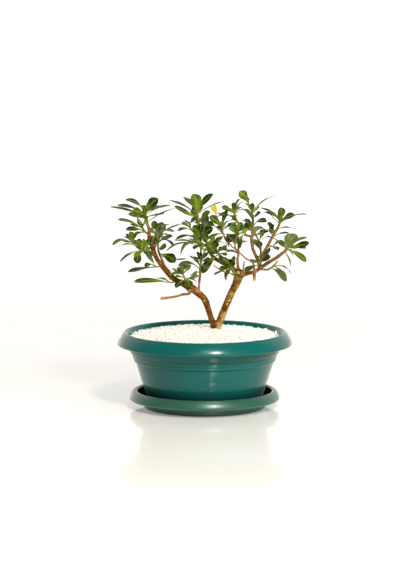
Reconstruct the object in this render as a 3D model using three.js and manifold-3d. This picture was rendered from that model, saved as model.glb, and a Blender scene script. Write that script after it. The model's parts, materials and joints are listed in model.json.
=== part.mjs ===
// A two-trunked Pittosporum bonsai, grown in a round plastic bowl with a turned-down rim that stands
// in its own saucer. Millimetres, +Z up, -Y towards the viewer. The origin is the centre of the
// saucer's underside, on the surface that it stands on.
import * as THREE from "three";
import { mergeVertices } from "three/addons/utils/BufferGeometryUtils.js";
import Module from "manifold-3d";

const wasm = await Module();
wasm.setup();

// Driving sizes of the bowl and its saucer.
const GAP = 0.3;
const ROUND_SIDES = 32;
const RIM_RADIUS = 115;
const CREST_RADIUS = 105;
const CREST_HEIGHT = 99.6;
const FLANGE_DROP = 17;
const SAUCER_FLOOR = 3;
const SAUCER_HEIGHT = 23.2;
const SAUCER_RADIUS = 98.9;
const SAUCER_FOOT_RADIUS = 79.6;
const FOOT_HEIGHT = SAUCER_FLOOR + GAP;
const FOOT_RADIUS = 65;
const FLOOR_HEIGHT = 9.3;
const DRAIN_RADIUS = 5;
const DRAIN_RING_RADIUS = 38;
const DRAIN_COUNT = 4;
const PIN_SIDES = 14;

// The inner wall is straight from the rounded floor corner up to the rim.
const INNER_LOW = { radius: 75.3, height: 22 };
const INNER_HIGH = { radius: 99, height: 94 };
const SOIL_TOP = 86;
const GRAVEL_EDGE_HEIGHT = 94;
const GRAVEL_DOME = 8;
const GRAVEL_DOME_CURVE = 2.4;
const GRAVEL_GRAIN = 1.7;
const GRAVEL_CALM_RINGS = 4;
const GRAVEL_RINGS = 12;
const GRAVEL_SIDES = 42;

// The crown is laid out in front view. A place is [across, behind, height]: across and height are
// read in the upright plane through the bowl's axis, and the place slides along the line of sight
// from EYE as it goes behind that plane.
const EYE = { across: -6, behind: -4289, height: 741 };

// The foot of the trunks stands in a plain hole through gravel and soil.
const FOOT_CENTRE = { x: 15.5, y: 12 };
const TRUNK_FOOT = [
  { height: 58, radius: 6.2 },
  { height: 80, radius: 7 },
  { height: 98, radius: 6.4 },
  { height: 105, radius: 5.8 },
  { height: 112, radius: 4.6 },
];
const TRUNK_HOLE_RADIUS = 8.6;
const FOOT_SIDES = 10;
const STEM_SIDES = 5;

// A blade is spoon-shaped. Each station is [share of the length, share of the half width], and the
// blade closes on a point at the tip.
const BLADE_STATIONS = [
  [0, 0.14],
  [0.3, 0.4],
  [0.53, 0.82],
  [0.74, 1],
  [0.91, 0.64],
];
const MIDDLE_STATION = 2;
const SMALL_BLADE = 27;
const BLADE_THICKNESS = 1;
const STALK_HALF_WIDTH = 0.7;
const BLADE_ARCH = 0.07;

// The leaves that fill a whorl start at this share of their stem and turn by the golden angle. They
// point more to the front and the back than sideways, and rise a little.
const WHORL_START = 0.4;
const WHORL_SIDEWAYS = 0.45;
const WHORL_RISE = { least: 0.1, more: 0.5 };
const WHORL_TILT = 0.3;
const WHORL_SLIMNESS = 0.27;
const GOLDEN_ANGLE = THREE.MathUtils.degToRad(137.5);
const GOLDEN_SHARE = 0.618;

// Points that are closer than WELD are one, and simplifying moves the surface by the others at most.
const WELD = 1e-4;
const SMOOTHING = 0.1;
const FLAT_ENOUGH = 0.001;

// The wood: limbs with their number of sides and their [across, behind, height, radius] stations.
const WOOD = [
  // The left trunk.
  { sides: 9, path: [
    [14, 12, 102, 4.4], [10, 12, 113, 3.9], [7, 10, 122, 3.9], [3, 8, 135, 4.1],
    [-1, 6, 144, 4.4], [-9, 4, 151, 4.7], [-17, 2, 158, 5.2], [-21, 1, 160, 5.5],
    [-29, -2, 164, 4.4], [-34, -3, 166, 3.8], [-42, -5, 171, 3.6], [-49, -7, 178, 3.3],
    [-56, -9, 187, 3.0], [-62, -11, 195, 2.9], [-66, -12, 204, 3.0], [-69, -13, 213, 2.9],
    [-72, -13, 224, 2.8], [-73, -13, 230, 2.6],
  ] },
  // The right trunk.
  { sides: 9, path: [
    [14, 12, 101, 4.9], [17, 13, 107, 4.9], [25, 12, 127, 4.8], [31, 10, 142, 4.8],
    [37, 8, 155, 4.9], [41, 6, 163, 5.1], [44, 4, 172, 6.3], [44, 2, 178, 7.0],
    [45, 1, 182, 5.0],
  ] },
  // The cut on the knuckle.
  { sides: 8, path: [
    [44, 2, 178, 3.8], [44, -7, 178, 3.3],
  ] },
  // The cut on the knot.
  { sides: 8, path: [
    [-20, 0, 158, 3.6], [-20, -8, 155, 3.2],
  ] },
  // The left bough.
  { sides: 7, path: [
    [42, 2, 176, 3.6], [37, 6, 183, 3.4], [32, 10, 187, 3.3], [26, 14, 190, 3.1],
    [16, 20, 195, 2.6], [10, 24, 200, 2.2], [5, 27, 206, 1.9],
  ] },
  // The right bough.
  { sides: 7, path: [
    [45, 2, 175, 3.6], [50, 0, 175, 2.9], [57, -3, 177, 2.6], [65, -6, 179, 2.5],
    [72, -9, 183, 2.5], [80, -11, 189, 2.4], [88, -12, 194, 2.3], [96, -12, 199, 2.3],
    [102, -12, 204, 2.2],
  ] },
  // The upright twig.
  { sides: 6, path: [
    [44, 2, 179, 2.4], [44, 4, 183, 2.0], [43, 6, 192, 1.8], [43, 8, 199, 1.7],
  ] },
  // The fork on the right bough.
  { sides: 6, path: [
    [72, -9, 182, 2.2], [72, -9, 189, 2.0],
  ] },
  // The back of the fork.
  { sides: 6, path: [
    [72, -9, 187, 2.3], [70, -6, 192, 2.2], [67, 0, 200, 2.2], [64, 5, 207, 2.2],
  ] },
  // The front of the fork.
  { sides: 6, path: [
    [72, -9, 187, 2.3], [73, -12, 193, 2.2], [77, -18, 204, 2.1], [82, -23, 213, 2.0],
  ] },
  // The long thin twig.
  { sides: 6, path: [
    [65, -7, 180, 1.6], [63, -13, 191, 1.3], [55, -18, 196, 1.2], [48, -21, 202, 1.1],
    [42, -22, 208, 1.1], [36, -21, 212, 1.1], [33, -20, 216, 1.0],
  ] },
  // The low right twig.
  { sides: 6, path: [
    [74, -10, 184, 1.6], [76, -14, 182, 1.3], [78, -16, 182, 1.2],
  ] },
  // The bare stub on the left.
  { sides: 6, path: [
    [-18, 0, 154, 2.4], [-21, -5, 150, 1.8], [-29, -9, 149, 1.7], [-35, -12, 147, 1.6],
    [-46, -17, 145, 1.7], [-55, -21, 144, 1.8], [-58, -22, 143, 1.5],
  ] },
  // The nub on the bare stub.
  { sides: 5, path: [
    [-54, -21, 144, 1.0], [-55, -22, 146, 0.9],
  ] },
  // The centre twig.
  { sides: 6, path: [
    [-9, 4, 151, 2.4], [-8, 3, 155, 1.7], [-7, 1, 164, 1.4],
  ] },
  // The inner twig.
  { sides: 6, path: [
    [-46, -6, 175, 2.6], [-47, -2, 180, 2.0], [-51, 2, 184, 1.9], [-55, 9, 192, 1.8],
    [-57, 14, 197, 1.7],
  ] },
  // The pale stub below.
  { sides: 7, path: [
    [65, -6, 180, 2.4], [65, -7, 167, 1.9],
  ] },
  // The thin stub above.
  { sides: 5, path: [
    [51, -1, 175, 1.6], [51, -2, 187, 1.1], [52, -2, 193, 1.0],
  ] },
  // The pale twig on the left.
  { sides: 5, path: [
    [41, 2, 174, 1.6], [33, -2, 177, 1.0], [23, -6, 180, 0.9], [11, -10, 188, 0.9],
  ] },
];

// The leafy stems. A shoot has its stem's places, its girth as [first radius, last radius] and its
// leaves as [share of the stem, across, behind, height, width, face, bow]: where the leaf grows from
// the stem, its tip, its width, the angle that its face is turned by and, on some, how far its
// middle bows up. Its fill is the [count, shortest, longest] of the leaves that fill its whorl.
const SPRAYS = [
  { name: "spray_left_top", shoots: [
    // The top of the left trunk.
    {
      stem: [[-73, -13, 230], [-73, -12, 235], [-76, -11, 245], [-78, -9, 254], [-78, -8, 259]],
      girth: [2.4, 1.6],
      leaves: [
        [0.66, -77, -22, 265, 7, 75], [0.92, -104, -22, 274, 11, 25, 5],
        [0.87, -115, -6, 267, 11, 22, 3], [0.83, -124, -12, 265, 11, 18, 1],
        [0.65, -100, 7, 255, 11, -32, 1], [0.83, -94, -29, 259, 11, 60],
        [0.92, -61, -21, 276, 13, 75], [0.9, -58, 7, 266, 9, 35], [0.82, -43, -6, 267, 9, 15, 3],
        [0.76, -53, -27, 256, 12, 14, 0], [0.51, -38, -4, 263, 9, 10, 2],
      ],
      fill: [3, 18, 26],
    },
  ] },
  { name: "spray_left_mid", shoots: [
    // The whorl to its left.
    {
      stem: [[-73, -13, 228], [-73, -14, 228], [-78, -20, 232], [-81, -26, 237], [-82, -28, 241]],
      girth: [1.5, 1.1],
      leaves: [
        [0.69, -114, -36, 248, 12, 18, 3], [0.54, -103, -43, 234, 11, 28],
        [0.78, -87, -4, 244, 9, 30], [0.34, -91, -40, 228, 9, 18],
      ],
      fill: [2, 18, 26],
    },
  ] },
  { name: "spray_left_right", shoots: [
    // The whorl to its right.
    {
      stem: [[-70, -13, 218], [-70, -12, 218], [-67, -4, 224], [-64, 3, 230], [-63, 6, 236]],
      girth: [1.5, 1.1],
      leaves: [
        [0.69, -57, -20, 241, 12, 62], [0.98, -53, 24, 242, 7, 30], [0.79, -40, 17, 242, 9, 15, 4],
        [0.54, -30, 14, 243, 9, 10, 1], [0.65, -40, -16, 232, 9, 14, 4],
        [0.82, -69, -10, 245, 11, 55],
      ],
      fill: [0, 20, 26],
    },
  ] },
  { name: "spray_left_inner", shoots: [
    // The inner shoot.
    {
      stem: [[-57, 14, 197], [-60, 17, 204], [-61, 21, 210], [-61, 24, 217], [-61, 25, 221]],
      girth: [1.6, 1.2],
      leaves: [
        [0.85, -42, 2, 226, 9, 30], [0.95, -41, 9, 213, 8, 14, 5], [0.69, -68, 5, 220, 9, 50],
        [0.26, -38, -1, 192, 13, 72], [0.23, -24, 34, 197, 7, 12, -4], [0.53, -51, -1, 211, 11, 45],
      ],
      fill: [1, 20, 26],
    },
  ] },
  { name: "spray_left_side", shoots: [
    // The side shoot.
    {
      stem: [
        [-66, -12, 203], [-70, -15, 201], [-77, -18, 205], [-83, -21, 208],
        [-90, -24, 213], [-95, -26, 218], [-96, -27, 221],
      ],
      girth: [1.9, 1.3],
      leaves: [
        [0.93, -98, -43, 232, 8, 70], [0.91, -106, -9, 226, 7, 30], [0.88, -89, -11, 230, 7, 45],
        [0.89, -121, -47, 214, 9, 18, 6], [0.83, -113, -3, 212, 8, 12, 2],
        [0.54, -88, -39, 190, 11, 70], [0.52, -111, -37, 192, 9, 16, 3],
        [0.43, -84, -4, 218, 9, 50], [0.3, -70, 5, 212, 9, 50],
      ],
      fill: [2, 18, 24],
    },
  ] },
  { name: "spray_left_low", shoots: [
    // The low shoot.
    {
      stem: [[-58, -10, 189], [-60, -13, 186], [-64, -17, 186], [-67, -21, 187]],
      girth: [1.2, 0.9],
      leaves: [
        [0.79, -77, -38, 202, 9, 35], [0.86, -78, -42, 185, 8, 22, 4],
        [0.59, -101, -30, 179, 11, 25, 1],
      ],
      fill: [0, 18, 26],
    },
  ] },
  { name: "spray_left_lowest", shoots: [
    // The lowest shoot.
    {
      stem: [[-39, -4, 169], [-40, -6, 166], [-43, -10, 165], [-46, -14, 165]],
      girth: [1.2, 0.9],
      leaves: [
        [0.87, -93, -30, 166, 12, 35, 2], [0.87, -64, 4, 171, 8, 18],
      ],
      fill: [0, 18, 26],
    },
  ] },
  { name: "spray_left_back", shoots: [
    // The shoot behind the left trunk.
    {
      stem: [[-64, -11, 199], [-64, 0, 199], [-66, 20, 205], [-64, 46, 217], [-60, 60, 229]],
      girth: [1.6, 1.1],
      leaves: [
        [1.0, -51, 41, 241, 12, 60], [0.95, -70, 83, 232, 11, 40], [1.0, -57, 78, 245, 12, 60],
      ],
      fill: [5, 22, 30],
    },
  ] },
  { name: "spray_left_near", shoots: [
    // The shoot before the left trunk.
    {
      stem: [[-66, -12, 206], [-67, -14, 205], [-71, -35, 204], [-76, -52, 206], [-80, -62, 209]],
      girth: [1.5, 1.0],
      leaves: [
        [1.0, -90, -81, 220, 11, 50], [1.0, -72, -85, 200, 11, 50],
      ],
      fill: [3, 20, 28],
    },
  ] },
  { name: "spray_knot", shoots: [
    // The whorl on the knot.
    {
      stem: [[-28, -2, 163], [-24, -8, 166], [-26, -12, 170], [-28, -16, 175], [-28, -18, 179]],
      girth: [1.5, 1.0],
      leaves: [
        [0.84, -46, -32, 176, 8, -35], [0.61, -38, -32, 172, 7, 20], [0.49, -38, -29, 158, 9, 45],
        [0.68, -20, -35, 159, 11, 60], [1.0, -24, 1, 189, 12, 60], [0.99, -33, -35, 187, 11, 45],
        [0.54, -10, 11, 166, 8, 25], [0.54, -23, -30, 154, 8, 40],
      ],
      fill: [1, 18, 24],
    },
  ] },
  { name: "spray_centre", shoots: [
    // The upright centre twig.
    {
      stem: [[-7, 1, 164], [-7, 2, 167], [-6, -2, 175], [-6, -5, 184], [-5, -7, 192], [-5, -8, 196]],
      girth: [1.6, 1.4],
      leaves: [
        [0.6, -35, -22, 187, 9, 30, 6], [0.47, -19, 14, 175, 8, 14], [0.26, -19, -18, 172, 11, -60],
        [0.88, 6, -26, 195, 8, 30], [0.88, -9, -26, 203, 9, 50], [0.76, 4, -25, 183, 9, 40],
      ],
      fill: [1, 18, 26],
    },
    // The middle whorl.
    {
      stem: [[-5, -8, 196], [-5, -8, 202], [-5, -8, 209], [-5, -8, 217], [-6, -9, 222]],
      girth: [1.4, 1.3],
      leaves: [
        [1.0, -16, -22, 239, 9, 60], [1.0, -3, -21, 243, 9, 62], [0.96, -39, -20, 221, 9, 18, 6],
        [0.88, -22, 7, 227, 8, 30], [0.75, -40, -5, 220, 8, 12], [0.58, -51, -19, 206, 8, 14, 9],
        [0.7, -32, -18, 201, 8, -40, 10], [0.75, -14, -27, 209, 8, 30],
        [0.58, 19, -26, 215, 14, 72], [0.5, 16, -31, 203, 9, 50], [0.65, 32, 6, 214, 9, 12, 6],
        [1.0, 11, -24, 237, 11, 60],
      ],
      fill: [2, 20, 26],
    },
    // The top whorl.
    {
      stem: [[-6, -9, 222], [-6, -9, 226], [-7, -8, 236], [-8, -7, 245], [-9, -6, 253], [-10, -6, 257]],
      girth: [1.8, 1.6],
      leaves: [
        [1.0, -15, -18, 282, 16, 71], [1.0, -28, 11, 278, 11, 35], [0.99, 11, -21, 282, 11, 45],
        [0.76, -40, -18, 266, 11, 35, 0], [0.95, -47, 7, 274, 9, 18, 2], [0.59, 7, -23, 259, 9, 50],
        [0.95, 25, 5, 272, 8, 10, 2], [0.44, 11, -26, 240, 9, 22, 5], [0.27, 10, 11, 237, 11, 40],
        [0.48, -12, -26, 244, 9, 25], [0.31, 0, -27, 224, 9, 40],
      ],
      fill: [1, 20, 28],
    },
    // The left fork.
    {
      stem: [[-6, -9, 228], [-8, -11, 228], [-13, -15, 230], [-17, -19, 234], [-19, -21, 238]],
      girth: [1.3, 1.1],
      leaves: [
        [0.97, -30, -39, 243, 7, 35], [1.0, -27, -3, 248, 7, 30], [1.0, -10, -41, 249, 7, 30, 4],
        [0.76, -35, -40, 233, 8, 22, 3], [0.87, -33, 3, 242, 8, 12], [0.62, -13, -34, 222, 8, 40],
      ],
      fill: [0, 18, 24],
    },
    // The shoot to the front.
    {
      stem: [[-5, -8, 198], [-3, -13, 198], [-1, -26, 204], [2, -40, 210], [3, -48, 216]],
      girth: [1.2, 0.8],
      leaves: [
        [0.97, 11, -67, 206, 11, 60], [0.99, -2, -69, 226, 11, 55],
      ],
      fill: [2, 20, 28],
    },
  ] },
  { name: "spray_centre_front", shoots: [
    // The tip of the left bough.
    {
      stem: [[10, 24, 200], [9, 21, 200], [12, 14, 204], [16, 7, 205], [19, 2, 203]],
      girth: [1.4, 1.1],
      leaves: [
        [1.0, -4, -1, 177, 12, 65], [1.0, 24, -20, 191, 11, 45], [0.88, 10, -14, 212, 11, 40],
        [0.8, 28, 26, 211, 11, 35],
      ],
      fill: [1, 18, 26],
    },
  ] },
  { name: "spray_centre_back", shoots: [
    // The shoot behind the centre.
    {
      stem: [[5, 27, 206], [4, 30, 210], [2, 42, 221], [1, 52, 232], [0, 58, 239]],
      girth: [1.4, 0.9],
      leaves: [
        [1.0, 4, 37, 254, 12, 60], [1.0, -9, 80, 250, 11, 50], [0.9, 11, 80, 243, 11, 50],
      ],
      fill: [5, 22, 30],
    },
  ] },
  { name: "spray_third", shoots: [
    // The shoot on the long thin twig.
    {
      stem: [
        [33, -20, 216], [32, -20, 216], [27, -19, 222],
        [25, -17, 228], [23, -15, 233], [23, -14, 237],
      ],
      girth: [1.3, 1.4],
      leaves: [
        [0.97, 6, -29, 252, 12, 50], [0.99, 30, -28, 260, 9, 40], [0.94, 40, 7, 248, 9, 12, 4],
        [0.72, 4, -28, 222, 9, 28], [0.54, 34, -36, 218, 11, 45], [0.48, 32, 0, 213, 9, 35],
        [0.57, 17, -38, 219, 9, 40],
      ],
      fill: [2, 20, 26],
    },
    // Its small crest, with one dying leaf.
    {
      stem: [[23, -14, 236], [19, -16, 245], [16, -18, 251], [15, -19, 254]],
      girth: [0.8, 0.7],
      leaves: [
        [0.98, 9, -27, 267, 9, 65], [0.85, 27, -28, 256, 7, 35],
      ],
      fill: [0, 12, 16],
    },
  ] },
  { name: "spray_mid", shoots: [
    // The upright twig's whorl.
    {
      stem: [[44, 8, 199], [44, 9, 209], [45, 10, 218], [43, 11, 226], [40, 12, 232]],
      girth: [1.6, 1.3],
      leaves: [
        [0.97, 31, 34, 236, 11, 35], [0.14, 11, 27, 206, 8, 12, 3], [0.16, 25, 32, 204, 11, 20],
        [0.93, 46, 35, 243, 9, 45], [0.49, 34, -11, 221, 11, 40], [0.45, 55, 33, 220, 9, 35],
        [0.97, 36, 30, 243, 11, 50],
      ],
      fill: [3, 20, 26],
    },
  ] },
  { name: "spray_right_top", shoots: [
    // The back of the fork.
    {
      stem: [
        [64, 5, 207], [63, 6, 209], [62, 8, 217], [61, 10, 222], [63, 11, 230],
        [63, 12, 238], [63, 12, 247], [62, 12, 257], [62, 12, 259],
      ],
      girth: [2.2, 1.7],
      leaves: [
        [0.98, 53, 31, 270, 7, 40], [0.97, 64, -4, 269, 8, 50], [0.95, 93, 27, 280, 8, 12, 4],
        [0.79, 73, -10, 257, 8, 25], [0.61, 81, -9, 245, 11, 22, 5], [0.62, 49, 35, 247, 11, 28],
        [0.5, 50, -8, 239, 9, 45], [0.5, 74, 35, 236, 8, 18], [0.36, 83, -10, 232, 9, 18, 1],
        [0.32, 74, -10, 212, 9, 45], [0.15, 71, 30, 216, 8, 25], [0.1, 66, 26, 221, 9, 50],
      ],
      fill: [2, 20, 28],
    },
    // Its left branch.
    {
      stem: [[63, 12, 235], [47, 1, 237], [44, -1, 243], [41, -3, 249], [39, -5, 255], [38, -5, 257]],
      girth: [1.8, 1.5],
      leaves: [
        [0.97, 22, -23, 264, 9, 45], [0.99, 40, -20, 270, 9, 50], [0.98, 47, 13, 265, 9, 40],
        [0.96, 61, -20, 250, 8, 16, 9], [0.99, 53, 20, 274, 8, 14], [0.99, 46, -27, 275, 8, 14],
        [0.82, 13, 15, 257, 9, 16, 1], [0.68, 33, -22, 237, 11, 50], [0.64, 49, -23, 234, 9, 40],
      ],
      fill: [2, 18, 26],
    },
    // A small hanging shoot.
    {
      stem: [[62, 10, 225], [55, 6, 227], [53, -3, 230], [51, -10, 232]],
      girth: [1.2, 1.0],
      leaves: [
        [0.89, 46, -28, 210, 8, 45], [0.97, 59, -28, 240, 9, 40],
      ],
      fill: [0, 18, 24],
    },
    // The topmost leaf on its twig.
    {
      stem: [[62, 12, 259], [60, 9, 264], [58, 7, 268], [57, 6, 270]],
      girth: [0.9, 0.7],
      leaves: [
        [0.96, 45, -2, 285, 13, 72], [0.84, 54, -4, 276, 7, 50],
      ],
      fill: [0, 12, 16],
    },
  ] },
  { name: "spray_right_fan", shoots: [
    // The front of the fork.
    {
      stem: [
        [82, -23, 213], [87, -25, 222], [91, -25, 229],
        [95, -25, 236], [98, -25, 243], [99, -25, 247],
      ],
      girth: [2.0, 1.6],
      leaves: [
        [1.0, 99, -38, 264, 11, 70], [0.94, 77, -8, 258, 9, 35, 4], [0.97, 73, -4, 264, 9, 22],
        [0.88, 118, -38, 254, 11, 38, 3], [0.9, 134, -39, 255, 7, 8, 4],
        [0.68, 118, -3, 236, 9, 12, 2], [0.46, 91, -40, 241, 9, 25, 5],
        [0.49, 84, -47, 236, 11, 50], [0.42, 72, 5, 237, 8, 12], [0.35, 76, -7, 223, 8, 12],
        [0.38, 110, -46, 230, 8, 12], [0.34, 103, -44, 212, 9, 28], [0.88, 106, -6, 249, 9, 35],
      ],
      fill: [2, 20, 26],
    },
    // A small inner shoot.
    {
      stem: [[83, -24, 215], [83, -26, 215], [86, -33, 213], [90, -38, 213]],
      girth: [1.2, 0.9],
      leaves: [
        [0.68, 96, -53, 208, 8, 30], [0.94, 102, -51, 220, 8, -25], [0.62, 83, -50, 203, 9, 35],
      ],
      fill: [0, 16, 22],
    },
  ] },
  { name: "spray_right_tip", shoots: [
    // The tip of the right bough.
    {
      stem: [[102, -12, 204], [102, -13, 204], [106, -12, 207], [109, -12, 211], [111, -12, 213]],
      girth: [2.2, 1.5],
      leaves: [
        [0.27, 120, -27, 229, 18, 76], [0.97, 134, -1, 225, 9, 28],
        [0.94, 137, -27, 217, 11, 55, -1], [0.81, 133, -25, 210, 9, 25, 2],
        [0.64, 133, -27, 192, 11, 45], [0.59, 116, 11, 201, 9, 30], [0.33, 113, 7, 187, 8, 18, 1],
      ],
      fill: [2, 18, 26],
    },
  ] },
  { name: "spray_right_low", shoots: [
    // The low right twig.
    {
      stem: [[78, -16, 182], [83, -19, 182], [88, -23, 185], [93, -26, 190], [95, -28, 194]],
      girth: [1.4, 1.1],
      leaves: [
        [0.58, 113, -12, 177, 8, 12, 5], [0.44, 108, -40, 167, 12, -55],
        [0.62, 99, -43, 179, 8, 18],
      ],
      fill: [0, 18, 24],
    },
  ] },
  { name: "spray_right_mid", shoots: [
    // The whorl in the fork.
    {
      stem: [[72, -9, 186], [70, -10, 186], [71, -14, 189], [73, -18, 193]],
      girth: [1.5, 1.1],
      leaves: [
        [0.76, 60, -37, 192, 9, 30], [0.72, 66, -35, 199, 8, 30], [0.44, 53, -36, 179, 9, 40],
        [0.9, 84, -39, 205, 8, 30], [0.81, 86, -35, 198, 11, 40],
      ],
      fill: [0, 18, 24],
    },
  ] },
  { name: "spray_right_back", shoots: [
    // The shoot behind the fork.
    {
      stem: [[68, -2, 197], [73, 16, 201], [72, 40, 216], [66, 52, 230]],
      girth: [1.6, 1.1],
      leaves: [
        [1.0, 51, 37, 242, 11, 55], [1.0, 74, 75, 239, 11, 50],
      ],
      fill: [4, 20, 28],
    },
  ] },
  { name: "spray_right_near", shoots: [
    // The shoot before the upright twig.
    {
      stem: [[45, -21, 205], [40, -36, 210], [40, -48, 221], [44, -55, 230]],
      girth: [1.3, 1.0],
      leaves: [
        [1.0, 51, -76, 239, 8, 35], [0.98, 36, -77, 239, 8, 35],
      ],
      fill: [2, 20, 28],
    },
  ] },
  { name: "spray_knuckle", shoots: [
    // The whorl on the knuckle.
    {
      stem: [[40, 4, 180], [38, -2, 182], [35, -8, 185], [34, -12, 187]],
      girth: [1.5, 1.1],
      leaves: [
        [0.96, 23, -33, 196, 9, 40], [0.66, 38, -25, 195, 11, 60], [0.69, 12, -27, 175, 9, 12, 1],
        [0.66, 28, -27, 173, 8, 40], [0.59, 51, -23, 171, 9, 30, -3], [0.81, 27, 12, 168, 9, 40],
      ],
      fill: [1, 18, 24],
    },
  ] },
];

const COLOURS = {
  teal: 0x175b52,
  saucerTeal: 0x2e6a5d,
  gravel: 0xf4eee1,
  soil: 0x3b2a1e,
  bark: 0x9a5a2c,
  leaf: 0x33502a,
};

// Closes a geometry's shared vertices, drops flat triangles and turns its faces outwards.
function solidOf(geometry) {
  const bare = geometry.clone();
  bare.deleteAttribute("normal");
  bare.deleteAttribute("uv");
  const merged = mergeVertices(bare, WELD);
  const index = merged.index.array;
  const position = merged.attributes.position;
  const corners = [new THREE.Vector3(), new THREE.Vector3(), new THREE.Vector3()];
  const triangles = [];
  let volume = 0;
  for (let i = 0; i < index.length; i += 3) {
    const [a, b, c] = [index[i], index[i + 1], index[i + 2]];
    if (a === b || b === c || c === a) continue;
    triangles.push(a, b, c);
    corners[0].fromBufferAttribute(position, a);
    corners[1].fromBufferAttribute(position, b);
    corners[2].fromBufferAttribute(position, c);
    volume += corners[0].dot(corners[1].cross(corners[2]));
  }
  if (volume < 0) triangles.reverse();
  return new wasm.Manifold(new wasm.Mesh({
    numProp: 3,
    vertProperties: Float32Array.from(position.array),
    triVerts: Uint32Array.from(triangles),
  }));
}

// The named mesh of a finished solid.
function meshOf(name, solid, colour, roughness) {
  const result = solid.getMesh();
  const geometry = new THREE.BufferGeometry();
  geometry.setAttribute("position", new THREE.BufferAttribute(result.vertProperties, 3));
  geometry.setIndex(new THREE.BufferAttribute(result.triVerts, 1));
  geometry.computeVertexNormals();
  const material = new THREE.MeshStandardMaterial({ color: colour, roughness, metalness: 0 });
  const mesh = new THREE.Mesh(geometry, material);
  mesh.name = name;
  return mesh;
}

// Joins solids and keeps the one body that holds them together.
function fuse(solids) {
  const joined = solids.reduce((whole, next) => whole.add(next));
  return largestBody(joined);
}

function largestBody(solid) {
  const bodies = solid.decompose();
  return bodies.reduce((best, next) => (next.volume() > best.volume() ? next : best));
}

// A body turned round the upright axis, from a profile of [radius, height] that starts and ends on it.
function turned(profile) {
  const points = profile.map(([radius, height]) => new THREE.Vector2(radius, height));
  const geometry = new THREE.LatheGeometry(points, ROUND_SIDES);
  geometry.rotateX(Math.PI / 2);
  return solidOf(geometry).asOriginal().simplify(FLAT_ENOUGH);
}

function uprightPin(x, y, low, high, radius) {
  const geometry = new THREE.CylinderGeometry(radius, radius, high - low, PIN_SIDES);
  geometry.rotateX(Math.PI / 2);
  geometry.translate(x, y, (low + high) / 2);
  return solidOf(geometry);
}

function innerRadius(height) {
  const slope = (INNER_HIGH.radius - INNER_LOW.radius) / (INNER_HIGH.height - INNER_LOW.height);
  return INNER_LOW.radius + (height - INNER_LOW.height) * slope;
}

function buildSaucer() {
  const lipEdge = 10.6;
  return turned([
    [0, 0],
    [SAUCER_FOOT_RADIUS, 0],
    [SAUCER_FOOT_RADIUS + 1.2, 7],
    [89.6, 19.6],
    [92.2, 20.4],
    [95.3, 16.2],
    [SAUCER_RADIUS - 2.4, lipEdge + 0.4],
    [SAUCER_RADIUS - 0.6, lipEdge],
    [SAUCER_RADIUS, lipEdge + 2.2],
    [SAUCER_RADIUS - 1.6, 17.2],
    [94.6, 21.6],
    [91.6, SAUCER_HEIGHT],
    [88.6, 21.8],
    [84, 14.5],
    [78.4, 5.6],
    [75, SAUCER_FLOOR],
    [0, SAUCER_FLOOR],
  ]);
}

function buildPot() {
  const flangeEdge = CREST_HEIGHT - FLANGE_DROP;
  const bowl = turned([
    [0, FOOT_HEIGHT + 3],
    [FOOT_RADIUS - 4.5, FOOT_HEIGHT + 3],
    [FOOT_RADIUS - 4, FOOT_HEIGHT],
    [FOOT_RADIUS, FOOT_HEIGHT],
    [FOOT_RADIUS + 1, 5.4],
    [71.5, 8.8],
    [76.3, 15.5],
    [79.2, 23],
    [81.9, 31.7],
    [89.6, 55.6],
    [91.2, 60],
    [91.4, 61],
    [93.2, 61.8],
    [95.6, 70.6],
    [95.4, 71.6],
    [97.9, 72.8],
    [100.4, 84],
    [101.8, 93.6],
    [104, 96.6],
    [107.6, 95],
    [RIM_RADIUS - 3.8, flangeEdge + 7],
    [RIM_RADIUS - 2.6, flangeEdge + 0.6],
    [RIM_RADIUS - 0.8, flangeEdge],
    [RIM_RADIUS, flangeEdge + 0.8],
    [RIM_RADIUS - 1.2, flangeEdge + 7.4],
    [RIM_RADIUS - 4, flangeEdge + 12.6],
    [RIM_RADIUS - 7, flangeEdge + 15.6],
    [CREST_RADIUS, CREST_HEIGHT],
    [CREST_RADIUS - 3, CREST_HEIGHT - 1.2],
    [INNER_HIGH.radius, INNER_HIGH.height],
    [INNER_LOW.radius, INNER_LOW.height],
    [70.5, 13.4],
    [62, FLOOR_HEIGHT],
    [0, FLOOR_HEIGHT],
  ]);
  let pot = bowl;
  for (let i = 0; i < DRAIN_COUNT; i++) {
    const turn = (i + 0.5) * 2 * Math.PI / DRAIN_COUNT;
    const x = DRAIN_RING_RADIUS * Math.cos(turn);
    const y = DRAIN_RING_RADIUS * Math.sin(turn);
    pot = pot.subtract(uprightPin(x, y, 0, FLOOR_HEIGHT + 2, DRAIN_RADIUS));
  }
  return pot;
}

function buildSoil(hole) {
  const bottom = FLOOR_HEIGHT + GAP;
  const top = SOIL_TOP - GAP;
  return turned([
    [0, bottom],
    [61.8, bottom],
    [70, 13.9],
    [INNER_LOW.radius - GAP, INNER_LOW.height],
    [innerRadius(top) - GAP, top],
    [0, top],
  ]).subtract(hole);
}

// A repeatable value from -1 to 1 that looks random from one place to the next.
function scatter(a, b) {
  const wave = Math.sin(a * 12.9898 + b * 78.233) * 43758.5453;
  return (wave - Math.floor(wave)) * 2 - 1;
}

// The height of the gravel: a low dome with grains that stand up and down, except near the trunks
// and along the edge.
function gravelHeight(ring, side) {
  const dome = GRAVEL_DOME * (1 - (ring / GRAVEL_RINGS) ** GRAVEL_DOME_CURVE);
  const calm = ring === GRAVEL_RINGS ? 0 : Math.min(1, ring / GRAVEL_CALM_RINGS);
  return GRAVEL_EDGE_HEIGHT + dome + scatter(ring, side) * GRAVEL_GRAIN * calm;
}

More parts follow.
